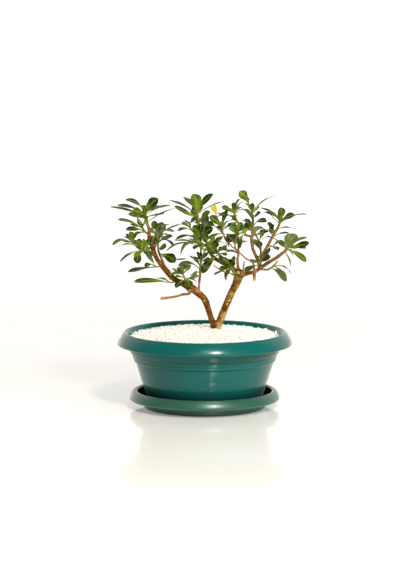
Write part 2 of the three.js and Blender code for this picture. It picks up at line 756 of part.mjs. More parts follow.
function buildGravel(hole) {
  const inFacets = Math.cos(Math.PI / ROUND_SIDES);
  const topRadius = innerRadius(GRAVEL_EDGE_HEIGHT) * inFacets - GAP;
  const lowRadius = innerRadius(SOIL_TOP) * inFacets - GAP;
  const positions = [0, 0, GRAVEL_EDGE_HEIGHT + GRAVEL_DOME];
  for (let ring = 1; ring <= GRAVEL_RINGS; ring++) {
    const radius = topRadius * ring / GRAVEL_RINGS;
    for (let side = 0; side < GRAVEL_SIDES; side++) {
      const turn = (side + (ring % 2) / 2) * 2 * Math.PI / GRAVEL_SIDES;
      positions.push(radius * Math.cos(turn), radius * Math.sin(turn), gravelHeight(ring, side));
    }
  }
  const lowStart = positions.length / 3;
  for (let side = 0; side < GRAVEL_SIDES; side++) {
    const turn = (side + (GRAVEL_RINGS % 2) / 2) * 2 * Math.PI / GRAVEL_SIDES;
    positions.push(lowRadius * Math.cos(turn), lowRadius * Math.sin(turn), SOIL_TOP);
  }
  const lowCentre = positions.length / 3;
  positions.push(0, 0, SOIL_TOP);

  const triangles = [];
  for (let side = 0; side < GRAVEL_SIDES; side++) {
    const next = (side + 1) % GRAVEL_SIDES;
    triangles.push(0, 1 + side, 1 + next);
    for (let ring = 1; ring < GRAVEL_RINGS; ring++) {
      const inner = 1 + (ring - 1) * GRAVEL_SIDES;
      const outer = inner + GRAVEL_SIDES;
      if (ring % 2) {
        triangles.push(inner + side, outer + side, outer + next);
        triangles.push(inner + side, outer + next, inner + next);
      } else {
        triangles.push(inner + side, outer + side, inner + next);
        triangles.push(inner + next, outer + side, outer + next);
      }
    }
    const edge = lowStart - GRAVEL_SIDES;
    triangles.push(edge + side, lowStart + side, lowStart + next);
    triangles.push(edge + side, lowStart + next, edge + next);
    triangles.push(lowCentre, lowStart + next, lowStart + side);
  }
  const geometry = new THREE.BufferGeometry();
  geometry.setAttribute("position", new THREE.Float32BufferAttribute(positions, 3));
  geometry.setIndex(triangles);
  return solidOf(geometry).subtract(hole);
}

// The place in space of a crown place.
function placed([across, behind, height]) {
  const scale = 1 - behind / EYE.behind;
  return new THREE.Vector3(
    EYE.across + (across - EYE.across) * scale,
    behind,
    EYE.height + (height - EYE.height) * scale,
  );
}

// A round tapered limb through the given points, with flat cut ends.
function limb(points, radii, sides) {
  const curve = new THREE.CatmullRomCurve3(points, false, "centripetal");
  const positions = [];
  let across = null;
  points.forEach((_, ring) => {
    const share = ring / (points.length - 1);
    const centre = curve.getPoint(share);
    const along = curve.getTangent(share);
    across ??= new THREE.Vector3(0, 1, 0).cross(along).lengthSq() > 0.05
      ? new THREE.Vector3(0, 1, 0)
      : new THREE.Vector3(1, 0, 0);
    across.addScaledVector(along, -across.dot(along)).normalize();
    const upward = new THREE.Vector3().crossVectors(along, across);
    for (let side = 0; side < sides; side++) {
      const turn = side * 2 * Math.PI / sides;
      const corner = centre.clone()
        .addScaledVector(across, radii[ring] * Math.cos(turn))
        .addScaledVector(upward, radii[ring] * Math.sin(turn));
      positions.push(corner.x, corner.y, corner.z);
    }
  });
  const triangles = [];
  const last = (points.length - 1) * sides;
  for (let side = 0; side < sides; side++) {
    const next = (side + 1) % sides;
    for (let start = 0; start < last; start += sides) {
      triangles.push(start + side, start + next, start + sides + side);
      triangles.push(start + next, start + sides + next, start + sides + side);
    }
    if (side > 1) {
      triangles.push(0, side, side - 1);
      triangles.push(last, last + side - 1, last + side);
    }
  }
  const geometry = new THREE.BufferGeometry();
  geometry.setAttribute("position", new THREE.Float32BufferAttribute(positions, 3));
  geometry.setIndex(triangles);
  return solidOf(geometry);
}

// The wood as one body. A positive extra gives the room that it takes up with its clearance.
function buildWood(extra) {
  const foot = TRUNK_FOOT.map(({ height }) => new THREE.Vector3(FOOT_CENTRE.x, FOOT_CENTRE.y, height));
  const limbs = [limb(foot, TRUNK_FOOT.map(({ radius }) => radius + extra), FOOT_SIDES)];
  for (const { sides, path } of WOOD) {
    const points = path.map((place) => placed(place));
    const end = points[points.length - 1];
    const before = points[points.length - 2];
    end.addScaledVector(end.clone().sub(before).normalize(), extra);
    limbs.push(limb(points, path.map((place) => place[3] + extra), sides));
  }
  return fuse(limbs).asOriginal().simplify(SMOOTHING);
}

// The hole that the foot of the trunks stands in.
function trunkHole() {
  const low = TRUNK_FOOT[0].height - GAP;
  const high = TRUNK_FOOT[TRUNK_FOOT.length - 1].height;
  return uprightPin(FOOT_CENTRE.x, FOOT_CENTRE.y, low, high, TRUNK_HOLE_RADIUS);
}

// A spoon-shaped blade from its root to its tip. The normal is the side that its upper face looks to,
// and the rise lifts the middle of the blade off the straight line.
function blade(root, tip, normal, width, rise) {
  const along = tip.clone().sub(root);
  const length = along.length();
  along.divideScalar(length);
  const across = new THREE.Vector3().crossVectors(along, normal).normalize();
  const middle = root.clone().add(tip).multiplyScalar(0.5).addScaledVector(rise, 2);
  const curve = new THREE.QuadraticBezierCurve3(root, middle, tip);
  const stations = BLADE_STATIONS.filter((_, i) => length > SMALL_BLADE || i !== MIDDLE_STATION);
  const positions = [];
  for (const [share, halfShare] of stations) {
    const half = Math.max(STALK_HALF_WIDTH, halfShare * width / 2);
    const centre = curve.getPoint(share);
    const forward = curve.getTangent(share);
    const keel = new THREE.Vector3().crossVectors(forward, across).normalize();
    const corners = [
      centre.clone().addScaledVector(across, -half),
      centre.clone().addScaledVector(across, half),
      centre.clone().addScaledVector(keel, BLADE_THICKNESS),
    ];
    corners.forEach((corner) => positions.push(corner.x, corner.y, corner.z));
  }
  positions.push(tip.x, tip.y, tip.z);

  // The flat upper face and the two lower ones are split along diagonals that lean the same way.
  const triangles = [0, 1, 2];
  const rings = stations.length;
  for (let ring = 0; ring < rings; ring++) {
    for (let side = 0; side < 3; side++) {
      const a = ring * 3 + side;
      const b = ring * 3 + (side + 1) % 3;
      if (ring === rings - 1) {
        triangles.push(a, rings * 3, b);
      } else {
        triangles.push(a, a + 3, b, b, a + 3, b + 3);
      }
    }
  }
  const geometry = new THREE.BufferGeometry();
  geometry.setAttribute("position", new THREE.Float32BufferAttribute(positions, 3));
  geometry.setIndex(triangles);
  return solidOf(geometry);
}

// The direction square to `along` that comes closest to `wanted`.
function squareTo(along, wanted) {
  return wanted.clone().addScaledVector(along, -along.dot(wanted)).normalize();
}

// A leaf that was placed by hand: its face is turned towards the viewer by the given angle, from a
// blade that is seen edge on, and a negative angle shows its pale underside.
function chosenLeaf(root, [, across, behind, height, width, face, bow]) {
  const tip = placed([across, behind, height]);
  const along = tip.clone().sub(root).normalize();
  const length = tip.distanceTo(root);
  const viewer = new THREE.Vector3(EYE.across, EYE.behind, EYE.height).sub(root).normalize();
  const facing = squareTo(along, viewer);
  const over = new THREE.Vector3().crossVectors(along, facing);
  if (over.z < 0) over.negate();
  const angle = THREE.MathUtils.degToRad(face);
  const normal = over.clone().multiplyScalar(Math.cos(angle)).addScaledVector(facing, Math.sin(angle));
  return blade(root, tip, normal, width, over.multiplyScalar(bow ?? length * BLADE_ARCH));
}

// A leaf that fills the whorl between the chosen ones, mostly to the front and the back.
function whorlLeaf(root, number, [, shortest, longest]) {
  const turn = (number + 1) * GOLDEN_ANGLE;
  const draw = ((number + 1) * GOLDEN_SHARE) % 1;
  const length = shortest + (longest - shortest) * draw;
  const rise = WHORL_RISE.least + WHORL_RISE.more * draw;
  const along = new THREE.Vector3(WHORL_SIDEWAYS * Math.cos(turn), Math.sin(turn), rise).normalize();
  const normal = squareTo(along, new THREE.Vector3(WHORL_TILT * Math.sin(2 * turn), 0, 1));
  const tip = root.clone().addScaledVector(along, length);
  const arch = normal.clone().multiplyScalar(length * BLADE_ARCH);
  return blade(root, tip, normal, length * WHORL_SLIMNESS, arch);
}

// One leafy stem with all that grows on it, cut clear of the wood that it grows from.
function buildSpray(shoots, woodRoom) {
  const pieces = [];
  for (const { stem, girth, leaves, fill } of shoots) {
    const points = stem.map((place) => placed(place));
    const last = points.length - 1;
    const radii = points.map((_, i) => girth[0] + (girth[1] - girth[0]) * i / last);
    pieces.push(limb(points, radii, STEM_SIDES));
    const curve = new THREE.CatmullRomCurve3(points, false, "centripetal");
    leaves.forEach((leaf) => pieces.push(chosenLeaf(curve.getPointAt(leaf[0]), leaf)));
    for (let i = 0; i < fill[0]; i++) {
      const share = WHORL_START + (1 - WHORL_START) * (i + 0.5) / fill[0];
      pieces.push(whorlLeaf(curve.getPointAt(share), i, fill));
    }
  }
  return largestBody(fuse(pieces).subtract(woodRoom).asOriginal().simplify(SMOOTHING));
}

const bonsai = new THREE.Group();
const hole = trunkHole();
const woodRoom = buildWood(GAP);
bonsai.add(meshOf("saucer", buildSaucer(), COLOURS.saucerTeal, 0.3));
bonsai.add(meshOf("pot", buildPot(), COLOURS.teal, 0.25));
bonsai.add(meshOf("soil", buildSoil(hole), COLOURS.soil, 0.95));
bonsai.add(meshOf("gravel", buildGravel(hole), COLOURS.gravel, 0.8));
bonsai.add(meshOf("wood", buildWood(0), COLOURS.bark, 0.8));
for (const { name, shoots } of SPRAYS) {
  bonsai.add(meshOf(name, buildSpray(shoots, woodRoom), COLOURS.leaf, 0.35));
}

export default bonsai;
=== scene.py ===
"""A two-trunked Pittosporum bonsai in a round teal bowl on its saucer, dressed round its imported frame."""

import json
import logging
import math
import random
from collections.abc import Callable, Iterable, Mapping, Sequence
from dataclasses import dataclass
from enum import Enum

import bmesh
import bpy
from mathutils import Matrix, Vector, noise
from mathutils.kdtree import KDTree

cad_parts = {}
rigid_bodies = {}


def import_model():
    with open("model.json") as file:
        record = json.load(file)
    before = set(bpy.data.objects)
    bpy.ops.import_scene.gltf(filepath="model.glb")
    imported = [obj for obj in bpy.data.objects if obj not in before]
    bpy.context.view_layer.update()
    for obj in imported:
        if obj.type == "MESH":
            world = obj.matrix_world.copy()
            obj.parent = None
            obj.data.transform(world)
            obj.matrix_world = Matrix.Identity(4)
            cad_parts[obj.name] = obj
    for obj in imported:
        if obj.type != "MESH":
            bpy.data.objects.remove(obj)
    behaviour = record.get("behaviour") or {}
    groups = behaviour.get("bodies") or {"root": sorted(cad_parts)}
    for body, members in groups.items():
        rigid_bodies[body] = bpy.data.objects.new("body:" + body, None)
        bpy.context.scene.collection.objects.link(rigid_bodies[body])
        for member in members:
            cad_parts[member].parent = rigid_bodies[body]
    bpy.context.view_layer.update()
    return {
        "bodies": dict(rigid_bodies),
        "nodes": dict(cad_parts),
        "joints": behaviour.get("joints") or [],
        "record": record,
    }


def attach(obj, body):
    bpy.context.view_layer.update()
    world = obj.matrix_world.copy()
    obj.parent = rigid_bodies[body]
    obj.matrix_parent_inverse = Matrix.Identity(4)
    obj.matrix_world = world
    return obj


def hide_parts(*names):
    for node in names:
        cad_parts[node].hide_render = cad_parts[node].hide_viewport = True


logging.basicConfig(level=logging.INFO, format="%(message)s")
LOG = logging.getLogger("bonsai")

MM = 0.001
BODY = "root"
GROWTH = "growth"
BLADE_MAP = "blade"
GOLDEN_ANGLE = math.radians(137.5)
GOLDEN_SHARE = 0.618

# A rounding takes up this share of an edge at most, a curve's length is measured over so many spots to
# a span, and a limb's swellings are so many to a metre.
CORNER_REACH = 0.48
SPOTS_TO_A_SPAN = 12
SWELLINGS_TO_A_METRE = 160

Span = tuple[float, float]
Triple = tuple[float, float, float]
Place = Colour = Triple
Station = tuple[float, float, float, float]
Socket = bpy.types.NodeSocket
Sockets = Mapping[str | int, Socket]
Value = Socket | tuple[float, ...] | float
Material = bpy.types.Material
Piece = bpy.types.Object
Mesh = bmesh.types.BMesh
Layer = bmesh.types.BMLayerItem


class Slot(Enum):
    """The record's material slots."""

    SAUCER = "saucer_plastic"
    POT = "pot_plastic"
    GRAVEL = "white_gravel"
    BARK = "bark"
    LEAF = "leaf"


class Face(Enum):
    """The material places of a leafy stem's mesh."""

    UPPER = 0
    LOWER = 1
    STALK = 2


@dataclass(frozen=True)
class Eye:
    """The point from which the crown is laid out, in millimetres."""

    across: float = -6
    behind: float = -4289
    height: float = 741

    def place(self, across: float, behind: float, height: float) -> Vector:
        """The place in space, in metres, of a crown place that slides along the line of sight.

        Args:
            across: How far right it stands in front view, in millimetres.
            behind: How far behind the bowl's axis it is, in millimetres.
            height: How high it stands in front view, in millimetres.

        Returns:
            The place in metres.
        """
        scale = 1 - behind / self.behind
        x = self.across + (across - self.across) * scale
        z = self.height + (height - self.height) * scale
        return Vector((x, behind, z)) * MM

    def point(self) -> Vector:
        """The eye itself, in metres."""
        return Vector((self.across, self.behind, self.height)) * MM


EYE = Eye()


@dataclass(frozen=True)
class Shoot:
    """One leafy shoot of a node, in millimetres.

    The stem and the leaves' tips are crown places. A leaf row is (share of the stem's length, across,
    behind, height, width, face, bow): face is the angle in degrees by which its upper side turns to the
    viewer, and the bow may be left out. fill is (count, shortest, longest) of the leaves that fill the
    whorl, and young and yellow are the numbers of leaf rows.
    """

    node: str
    girth: Span
    stem: tuple[Place, ...]
    leaves: tuple[tuple[float, ...], ...]
    fill: tuple[int, float, float] = (0, 0, 0)
    young: tuple[int, ...] = ()
    yellow: tuple[int, ...] = ()


# The crown as it was read in front view. A limb's station is (across, behind, height, radius).
WOOD: dict[str, tuple[Station, ...]] = {
    "left trunk": (
        (14, 12, 102, 4.4), (10, 12, 113, 3.9), (7, 10, 122, 3.9), (3, 8, 135, 4.1), (-1, 6, 144, 4.4),
        (-9, 4, 151, 4.7), (-17, 2, 158, 5.2), (-21, 1, 160, 5.5), (-29, -2, 164, 4.4),
        (-34, -3, 166, 3.8), (-42, -5, 171, 3.6), (-49, -7, 178, 3.3), (-56, -9, 187, 3),
        (-62, -11, 195, 2.9), (-66, -12, 204, 3), (-69, -13, 213, 2.9), (-72, -13, 224, 2.8),
        (-73, -13, 230, 2.6),
    ),
    "right trunk": (
        (14, 12, 101, 4.9), (17, 13, 107, 4.9), (25, 12, 127, 4.8), (31, 10, 142, 4.8), (37, 8, 155, 4.9),
        (41, 6, 163, 5.1), (44, 4, 172, 6.3), (44, 2, 178, 7), (45, 1, 182, 5),
    ),
    "cut on the knuckle": ((44, 2, 178, 3.8), (44, -7, 178, 3.3)),
    "cut on the knot": ((-20, 0, 158, 3.6), (-20, -8, 155, 3.2)),
    "left bough": (
        (42, 2, 176, 3.6), (37, 6, 183, 3.4), (32, 10, 187, 3.3), (26, 14, 190, 3.1), (16, 20, 195, 2.6),
        (10, 24, 200, 2.2), (5, 27, 206, 1.9),
    ),
    "right bough": (
        (45, 2, 175, 3.6), (50, 0, 175, 2.9), (57, -3, 177, 2.6), (65, -6, 179, 2.5), (72, -9, 183, 2.5),
        (80, -11, 189, 2.4), (88, -12, 194, 2.3), (96, -12, 199, 2.3), (102, -12, 204, 2.2),
    ),
    "upright twig": ((44, 2, 179, 2.4), (44, 4, 183, 2), (43, 6, 192, 1.8), (43, 8, 199, 1.7)),
    "fork on the right bough": ((72, -9, 182, 2.2), (72, -9, 189, 2)),
    "back of the fork": ((72, -9, 187, 2.3), (70, -6, 192, 2.2), (67, 0, 200, 2.2), (64, 5, 207, 2.2)),
    "front of the fork": (
        (72, -9, 187, 2.3), (73, -12, 193, 2.2), (77, -18, 204, 2.1), (82, -23, 213, 2),
    ),
    "long thin twig": (
        (65, -7, 180, 1.6), (63, -13, 191, 1.3), (55, -18, 196, 1.2), (48, -21, 202, 1.1),
        (42, -22, 208, 1.1), (36, -21, 212, 1.1), (33, -20, 216, 1),
    ),
    "low right twig": ((74, -10, 184, 1.6), (76, -14, 182, 1.3), (78, -16, 182, 1.2)),
    "bare stub on the left": (
        (-18, 0, 154, 2.4), (-21, -5, 150, 1.8), (-29, -9, 149, 1.7), (-35, -12, 147, 1.6),
        (-46, -17, 145, 1.7), (-55, -21, 144, 1.8), (-58, -22, 143, 1.5),
    ),
    "nub on the bare stub": ((-54, -21, 144, 1), (-55, -22, 146, 0.9)),
    "centre twig": ((-9, 4, 151, 2.4), (-8, 3, 155, 1.7), (-7, 1, 164, 1.4)),
    "inner twig": (
        (-46, -6, 175, 2.6), (-47, -2, 180, 2), (-51, 2, 184, 1.9), (-55, 9, 192, 1.8),
        (-57, 14, 197, 1.7),
    ),
    "pale stub below": ((65, -6, 180, 2.4), (65, -7, 167, 1.9)),
    "thin stub above": ((51, -1, 175, 1.6), (51, -2, 187, 1.1), (52, -2, 193, 1)),
    "pale twig on the left": (
        (41, 2, 174, 1.6), (33, -2, 177, 1), (23, -6, 180, 0.9), (11, -10, 188, 0.9),
    ),
}

SHOOTS: tuple[Shoot, ...] = (
    Shoot(
        "spray_left_top", girth=(2.4, 1.6), fill=(3, 18, 26), young=(0, 4),
        stem=((-73, -13, 230), (-73, -12, 235), (-76, -11, 245), (-78, -9, 254), (-78, -8, 259)),
        leaves=(
            (0.66, -77, -22, 265, 7, 75), (0.92, -104, -22, 274, 11, 25, 5),
            (0.87, -115, -6, 267, 11, 22, 3), (0.83, -124, -12, 265, 11, 18, 1),
            (0.65, -100, 7, 255, 11, -32, 1), (0.83, -94, -29, 259, 11, 60),
            (0.92, -61, -21, 276, 13, 75), (0.9, -58, 7, 266, 9, 35), (0.82, -43, -6, 267, 9, 15, 3),
            (0.76, -53, -27, 256, 12, 14, 0), (0.51, -38, -4, 263, 9, 10, 2),
        ),
    ),
    Shoot(
        "spray_left_mid", girth=(1.5, 1.1), fill=(2, 18, 26),
        stem=((-73, -13, 228), (-73, -14, 228), (-78, -20, 232), (-81, -26, 237), (-82, -28, 241)),
        leaves=(
            (0.69, -114, -36, 248, 12, 18, 3), (0.54, -103, -43, 234, 11, 28),
            (0.78, -87, -4, 244, 9, 30), (0.34, -91, -40, 228, 9, 18),
        ),
    ),
    Shoot(
        "spray_left_right", girth=(1.5, 1.1), young=(4,),
        stem=((-70, -13, 218), (-70, -12, 218), (-67, -4, 224), (-64, 3, 230), (-63, 6, 236)),
        leaves=(
            (0.69, -57, -20, 241, 12, 62), (0.98, -53, 24, 242, 7, 30), (0.79, -40, 17, 242, 9, 15, 4),
            (0.54, -30, 14, 243, 9, 10, 1), (0.65, -40, -16, 232, 9, 14, 4),
            (0.82, -69, -10, 245, 11, 55),
        ),
    ),
    Shoot(
        "spray_left_inner", girth=(1.6, 1.2), fill=(1, 20, 26),
        stem=((-57, 14, 197), (-60, 17, 204), (-61, 21, 210), (-61, 24, 217), (-61, 25, 221)),
        leaves=(
            (0.85, -42, 2, 226, 9, 30), (0.95, -41, 9, 213, 8, 14, 5), (0.69, -68, 5, 220, 9, 50),
            (0.26, -38, -1, 192, 13, 72), (0.23, -24, 34, 197, 7, 12, -4), (0.53, -51, -1, 211, 11, 45),
        ),
    ),
    Shoot(
        "spray_left_side", girth=(1.9, 1.3), fill=(2, 18, 24), young=(0, 1, 2),
        stem=(
            (-66, -12, 203), (-70, -15, 201), (-77, -18, 205), (-83, -21, 208), (-90, -24, 213),
            (-95, -26, 218), (-96, -27, 221),
        ),
        leaves=(
            (0.93, -98, -43, 232, 8, 70), (0.91, -106, -9, 226, 7, 30), (0.88, -89, -11, 230, 7, 45),
            (0.89, -121, -47, 214, 9, 18, 6), (0.83, -113, -3, 212, 8, 12, 2),
            (0.54, -88, -39, 190, 11, 70), (0.52, -111, -37, 192, 9, 16, 3), (0.43, -84, -4, 218, 9, 50),
            (0.3, -70, 5, 212, 9, 50),
        ),
    ),
    Shoot(
        "spray_left_low", girth=(1.2, 0.9),
        stem=((-58, -10, 189), (-60, -13, 186), (-64, -17, 186), (-67, -21, 187)),
        leaves=(
            (0.79, -77, -38, 202, 9, 35), (0.86, -78, -42, 185, 8, 22, 4),
            (0.59, -101, -30, 179, 11, 25, 1),
        ),
    ),
    Shoot(
        "spray_left_lowest", girth=(1.2, 0.9),
        stem=((-39, -4, 169), (-40, -6, 166), (-43, -10, 165), (-46, -14, 165)),
        leaves=((0.87, -93, -30, 166, 12, 35, 2), (0.87, -64, 4, 171, 8, 18)),
    ),
    Shoot(
        "spray_left_back", girth=(1.6, 1.1), fill=(5, 22, 30),
        stem=((-64, -11, 199), (-64, 0, 199), (-66, 20, 205), (-64, 46, 217), (-60, 60, 229)),
        leaves=((1, -51, 41, 241, 12, 60), (0.95, -70, 83, 232, 11, 40), (1, -57, 78, 245, 12, 60)),
    ),
    Shoot(
        "spray_left_near", girth=(1.5, 1.0), fill=(3, 20, 28),
        stem=((-66, -12, 206), (-67, -14, 205), (-71, -35, 204), (-76, -52, 206), (-80, -62, 209)),
        leaves=((1, -90, -81, 220, 11, 50), (1, -72, -85, 200, 11, 50)),
    ),
    Shoot(
        "spray_knot", girth=(1.5, 1.0), fill=(1, 18, 24), young=(0, 1),
        stem=((-28, -2, 163), (-24, -8, 166), (-26, -12, 170), (-28, -16, 175), (-28, -18, 179)),
        leaves=(
            (0.84, -46, -32, 176, 8, -35), (0.61, -38, -32, 172, 7, 20), (0.49, -38, -29, 158, 9, 45),
            (0.68, -20, -35, 159, 11, 60), (1, -24, 1, 189, 12, 60), (0.99, -33, -35, 187, 11, 45),
            (0.54, -10, 11, 166, 8, 25), (0.54, -23, -30, 154, 8, 40),
        ),
    ),
    Shoot(
        "spray_centre", girth=(1.6, 1.4), fill=(1, 18, 26), young=(2,),
        stem=((-7, 1, 164), (-7, 2, 167), (-6, -2, 175), (-6, -5, 184), (-5, -7, 192), (-5, -8, 196)),
        leaves=(
            (0.6, -35, -22, 187, 9, 30, 6), (0.47, -19, 14, 175, 8, 14), (0.26, -19, -18, 172, 11, -60),
            (0.88, 6, -26, 195, 8, 30), (0.88, -9, -26, 203, 9, 50), (0.76, 4, -25, 183, 9, 40),
        ),
    ),
    Shoot(
        "spray_centre", girth=(1.4, 1.3), fill=(2, 20, 26),
        stem=((-5, -8, 196), (-5, -8, 202), (-5, -8, 209), (-5, -8, 217), (-6, -9, 222)),
        leaves=(
            (1, -16, -22, 239, 9, 60), (1, -3, -21, 243, 9, 62), (0.96, -39, -20, 221, 9, 18, 6),
            (0.88, -22, 7, 227, 8, 30), (0.75, -40, -5, 220, 8, 12), (0.58, -51, -19, 206, 8, 14, 9),
            (0.7, -32, -18, 201, 8, -40, 10), (0.75, -14, -27, 209, 8, 30), (0.58, 19, -26, 215, 14, 72),
            (0.5, 16, -31, 203, 9, 50), (0.65, 32, 6, 214, 9, 12, 6), (1, 11, -24, 237, 11, 60),
        ),
    ),
    Shoot(
        "spray_centre", girth=(1.8, 1.6), fill=(1, 20, 28), young=(0,),
        stem=((-6, -9, 222), (-6, -9, 226), (-7, -8, 236), (-8, -7, 245), (-9, -6, 253), (-10, -6, 257)),
        leaves=(
            (1, -15, -18, 282, 16, 71), (1, -28, 11, 278, 11, 35), (0.99, 11, -21, 282, 11, 45),
            (0.76, -40, -18, 266, 11, 35, 0), (0.95, -47, 7, 274, 9, 18, 2), (0.59, 7, -23, 259, 9, 50),
            (0.95, 25, 5, 272, 8, 10, 2), (0.44, 11, -26, 240, 9, 22, 5), (0.27, 10, 11, 237, 11, 40),
            (0.48, -12, -26, 244, 9, 25), (0.31, 0, -27, 224, 9, 40),
        ),
    ),
    Shoot(
        "spray_centre", girth=(1.3, 1.1),
        stem=((-6, -9, 228), (-8, -11, 228), (-13, -15, 230), (-17, -19, 234), (-19, -21, 238)),
        leaves=(
            (0.97, -30, -39, 243, 7, 35), (1, -27, -3, 248, 7, 30), (1, -10, -41, 249, 7, 30, 4),
            (0.76, -35, -40, 233, 8, 22, 3), (0.87, -33, 3, 242, 8, 12), (0.62, -13, -34, 222, 8, 40),
        ),
    ),
    Shoot(
        "spray_centre", girth=(1.2, 0.8), fill=(2, 20, 28),
        stem=((-5, -8, 198), (-3, -13, 198), (-1, -26, 204), (2, -40, 210), (3, -48, 216)),
        leaves=((0.97, 11, -67, 206, 11, 60), (0.99, -2, -69, 226, 11, 55)),
    ),
    Shoot(
        "spray_centre_front", girth=(1.4, 1.1), fill=(1, 18, 26),
        stem=((10, 24, 200), (9, 21, 200), (12, 14, 204), (16, 7, 205), (19, 2, 203)),
        leaves=(
            (1, -4, -1, 177, 12, 65), (1, 24, -20, 191, 11, 45), (0.88, 10, -14, 212, 11, 40),
            (0.8, 28, 26, 211, 11, 35),
        ),
    ),
    Shoot(
        "spray_centre_back", girth=(1.4, 0.9), fill=(5, 22, 30),
        stem=((5, 27, 206), (4, 30, 210), (2, 42, 221), (1, 52, 232), (0, 58, 239)),
        leaves=((1, 4, 37, 254, 12, 60), (1, -9, 80, 250, 11, 50), (0.9, 11, 80, 243, 11, 50)),
    ),
    Shoot(
        "spray_third", girth=(1.3, 1.4), fill=(2, 20, 26),
        stem=(
            (33, -20, 216), (32, -20, 216), (27, -19, 222), (25, -17, 228), (23, -15, 233),
            (23, -14, 237),
        ),
        leaves=(
            (0.97, 6, -29, 252, 12, 50), (0.99, 30, -28, 260, 9, 40), (0.94, 40, 7, 248, 9, 12, 4),
            (0.72, 4, -28, 222, 9, 28), (0.54, 34, -36, 218, 11, 45), (0.48, 32, 0, 213, 9, 35),
            (0.57, 17, -38, 219, 9, 40),
        ),
    ),
    Shoot(
        "spray_third", girth=(0.8, 0.7), yellow=(0,),
        stem=((23, -14, 236), (19, -16, 245), (16, -18, 251), (15, -19, 254)),
        leaves=((0.98, 9, -27, 267, 9, 65), (0.85, 27, -28, 256, 7, 35)),
    ),
    Shoot(
        "spray_mid", girth=(1.6, 1.3), fill=(3, 20, 26),
        stem=((44, 8, 199), (44, 9, 209), (45, 10, 218), (43, 11, 226), (40, 12, 232)),
        leaves=(
            (0.97, 31, 34, 236, 11, 35), (0.14, 11, 27, 206, 8, 12, 3), (0.16, 25, 32, 204, 11, 20),
            (0.93, 46, 35, 243, 9, 45), (0.49, 34, -11, 221, 11, 40), (0.45, 55, 33, 220, 9, 35),
            (0.97, 36, 30, 243, 11, 50),
        ),
    ),
    Shoot(
        "spray_right_top", girth=(2.2, 1.7), fill=(2, 20, 28), young=(0, 1),
        stem=(
            (64, 5, 207), (63, 6, 209), (62, 8, 217), (61, 10, 222), (63, 11, 230), (63, 12, 238),
            (63, 12, 247), (62, 12, 257), (62, 12, 259),
        ),
        leaves=(
            (0.98, 53, 31, 270, 7, 40), (0.97, 64, -4, 269, 8, 50), (0.95, 93, 27, 280, 8, 12, 4),
            (0.79, 73, -10, 257, 8, 25), (0.61, 81, -9, 245, 11, 22, 5), (0.62, 49, 35, 247, 11, 28),
            (0.5, 50, -8, 239, 9, 45), (0.5, 74, 35, 236, 8, 18), (0.36, 83, -10, 232, 9, 18, 1),
            (0.32, 74, -10, 212, 9, 45), (0.15, 71, 30, 216, 8, 25), (0.1, 66, 26, 221, 9, 50),
        ),
    ),
    Shoot(
        "spray_right_top", girth=(1.8, 1.5), fill=(2, 18, 26), young=(1, 2),
        stem=((63, 12, 235), (47, 1, 237), (44, -1, 243), (41, -3, 249), (39, -5, 255), (38, -5, 257)),
        leaves=(
            (0.97, 22, -23, 264, 9, 45), (0.99, 40, -20, 270, 9, 50), (0.98, 47, 13, 265, 9, 40),
            (0.96, 61, -20, 250, 8, 16, 9), (0.99, 53, 20, 274, 8, 14), (0.99, 46, -27, 275, 8, 14),
            (0.82, 13, 15, 257, 9, 16, 1), (0.68, 33, -22, 237, 11, 50), (0.64, 49, -23, 234, 9, 40),
        ),
    ),
    Shoot(
        "spray_right_top", girth=(1.2, 1.0),
        stem=((62, 10, 225), (55, 6, 227), (53, -3, 230), (51, -10, 232)),
        leaves=((0.89, 46, -28, 210, 8, 45), (0.97, 59, -28, 240, 9, 40)),
    ),
    Shoot(
        "spray_right_top", girth=(0.9, 0.7), young=(0, 1),
        stem=((62, 12, 259), (60, 9, 264), (58, 7, 268), (57, 6, 270)),
        leaves=((0.96, 45, -2, 285, 13, 72), (0.84, 54, -4, 276, 7, 50)),
    ),
    Shoot(
        "spray_right_fan", girth=(2.0, 1.6), fill=(2, 20, 26),
        stem=(
            (82, -23, 213), (87, -25, 222), (91, -25, 229), (95, -25, 236), (98, -25, 243),
            (99, -25, 247),
        ),
        leaves=(
            (1, 99, -38, 264, 11, 70), (0.94, 77, -8, 258, 9, 35, 4), (0.97, 73, -4, 264, 9, 22),
            (0.88, 118, -38, 254, 11, 38, 3), (0.9, 134, -39, 255, 7, 8, 4),
            (0.68, 118, -3, 236, 9, 12, 2), (0.46, 91, -40, 241, 9, 25, 5), (0.49, 84, -47, 236, 11, 50),
            (0.42, 72, 5, 237, 8, 12), (0.35, 76, -7, 223, 8, 12), (0.38, 110, -46, 230, 8, 12),
            (0.34, 103, -44, 212, 9, 28), (0.88, 106, -6, 249, 9, 35),
        ),
    ),
    Shoot(
        "spray_right_fan", girth=(1.2, 0.9), young=(1,),
        stem=((83, -24, 215), (83, -26, 215), (86, -33, 213), (90, -38, 213)),
        leaves=((0.68, 96, -53, 208, 8, 30), (0.94, 102, -51, 220, 8, -25), (0.62, 83, -50, 203, 9, 35)),
    ),
    Shoot(
        "spray_right_tip", girth=(2.2, 1.5), fill=(2, 18, 26), young=(0, 1, 4),
        stem=((102, -12, 204), (102, -13, 204), (106, -12, 207), (109, -12, 211), (111, -12, 213)),
        leaves=(
            (0.27, 120, -27, 229, 18, -76), (0.97, 134, -1, 225, 9, 28),
            (0.94, 137, -27, 217, 11, 55, -1), (0.81, 133, -25, 210, 9, 25, 2),
            (0.64, 133, -27, 192, 11, 45), (0.59, 116, 11, 201, 9, 30), (0.33, 113, 7, 187, 8, 18, 1),
        ),
    ),
    Shoot(
        "spray_right_low", girth=(1.4, 1.1), young=(1,),
        stem=((78, -16, 182), (83, -19, 182), (88, -23, 185), (93, -26, 190), (95, -28, 194)),
        leaves=(
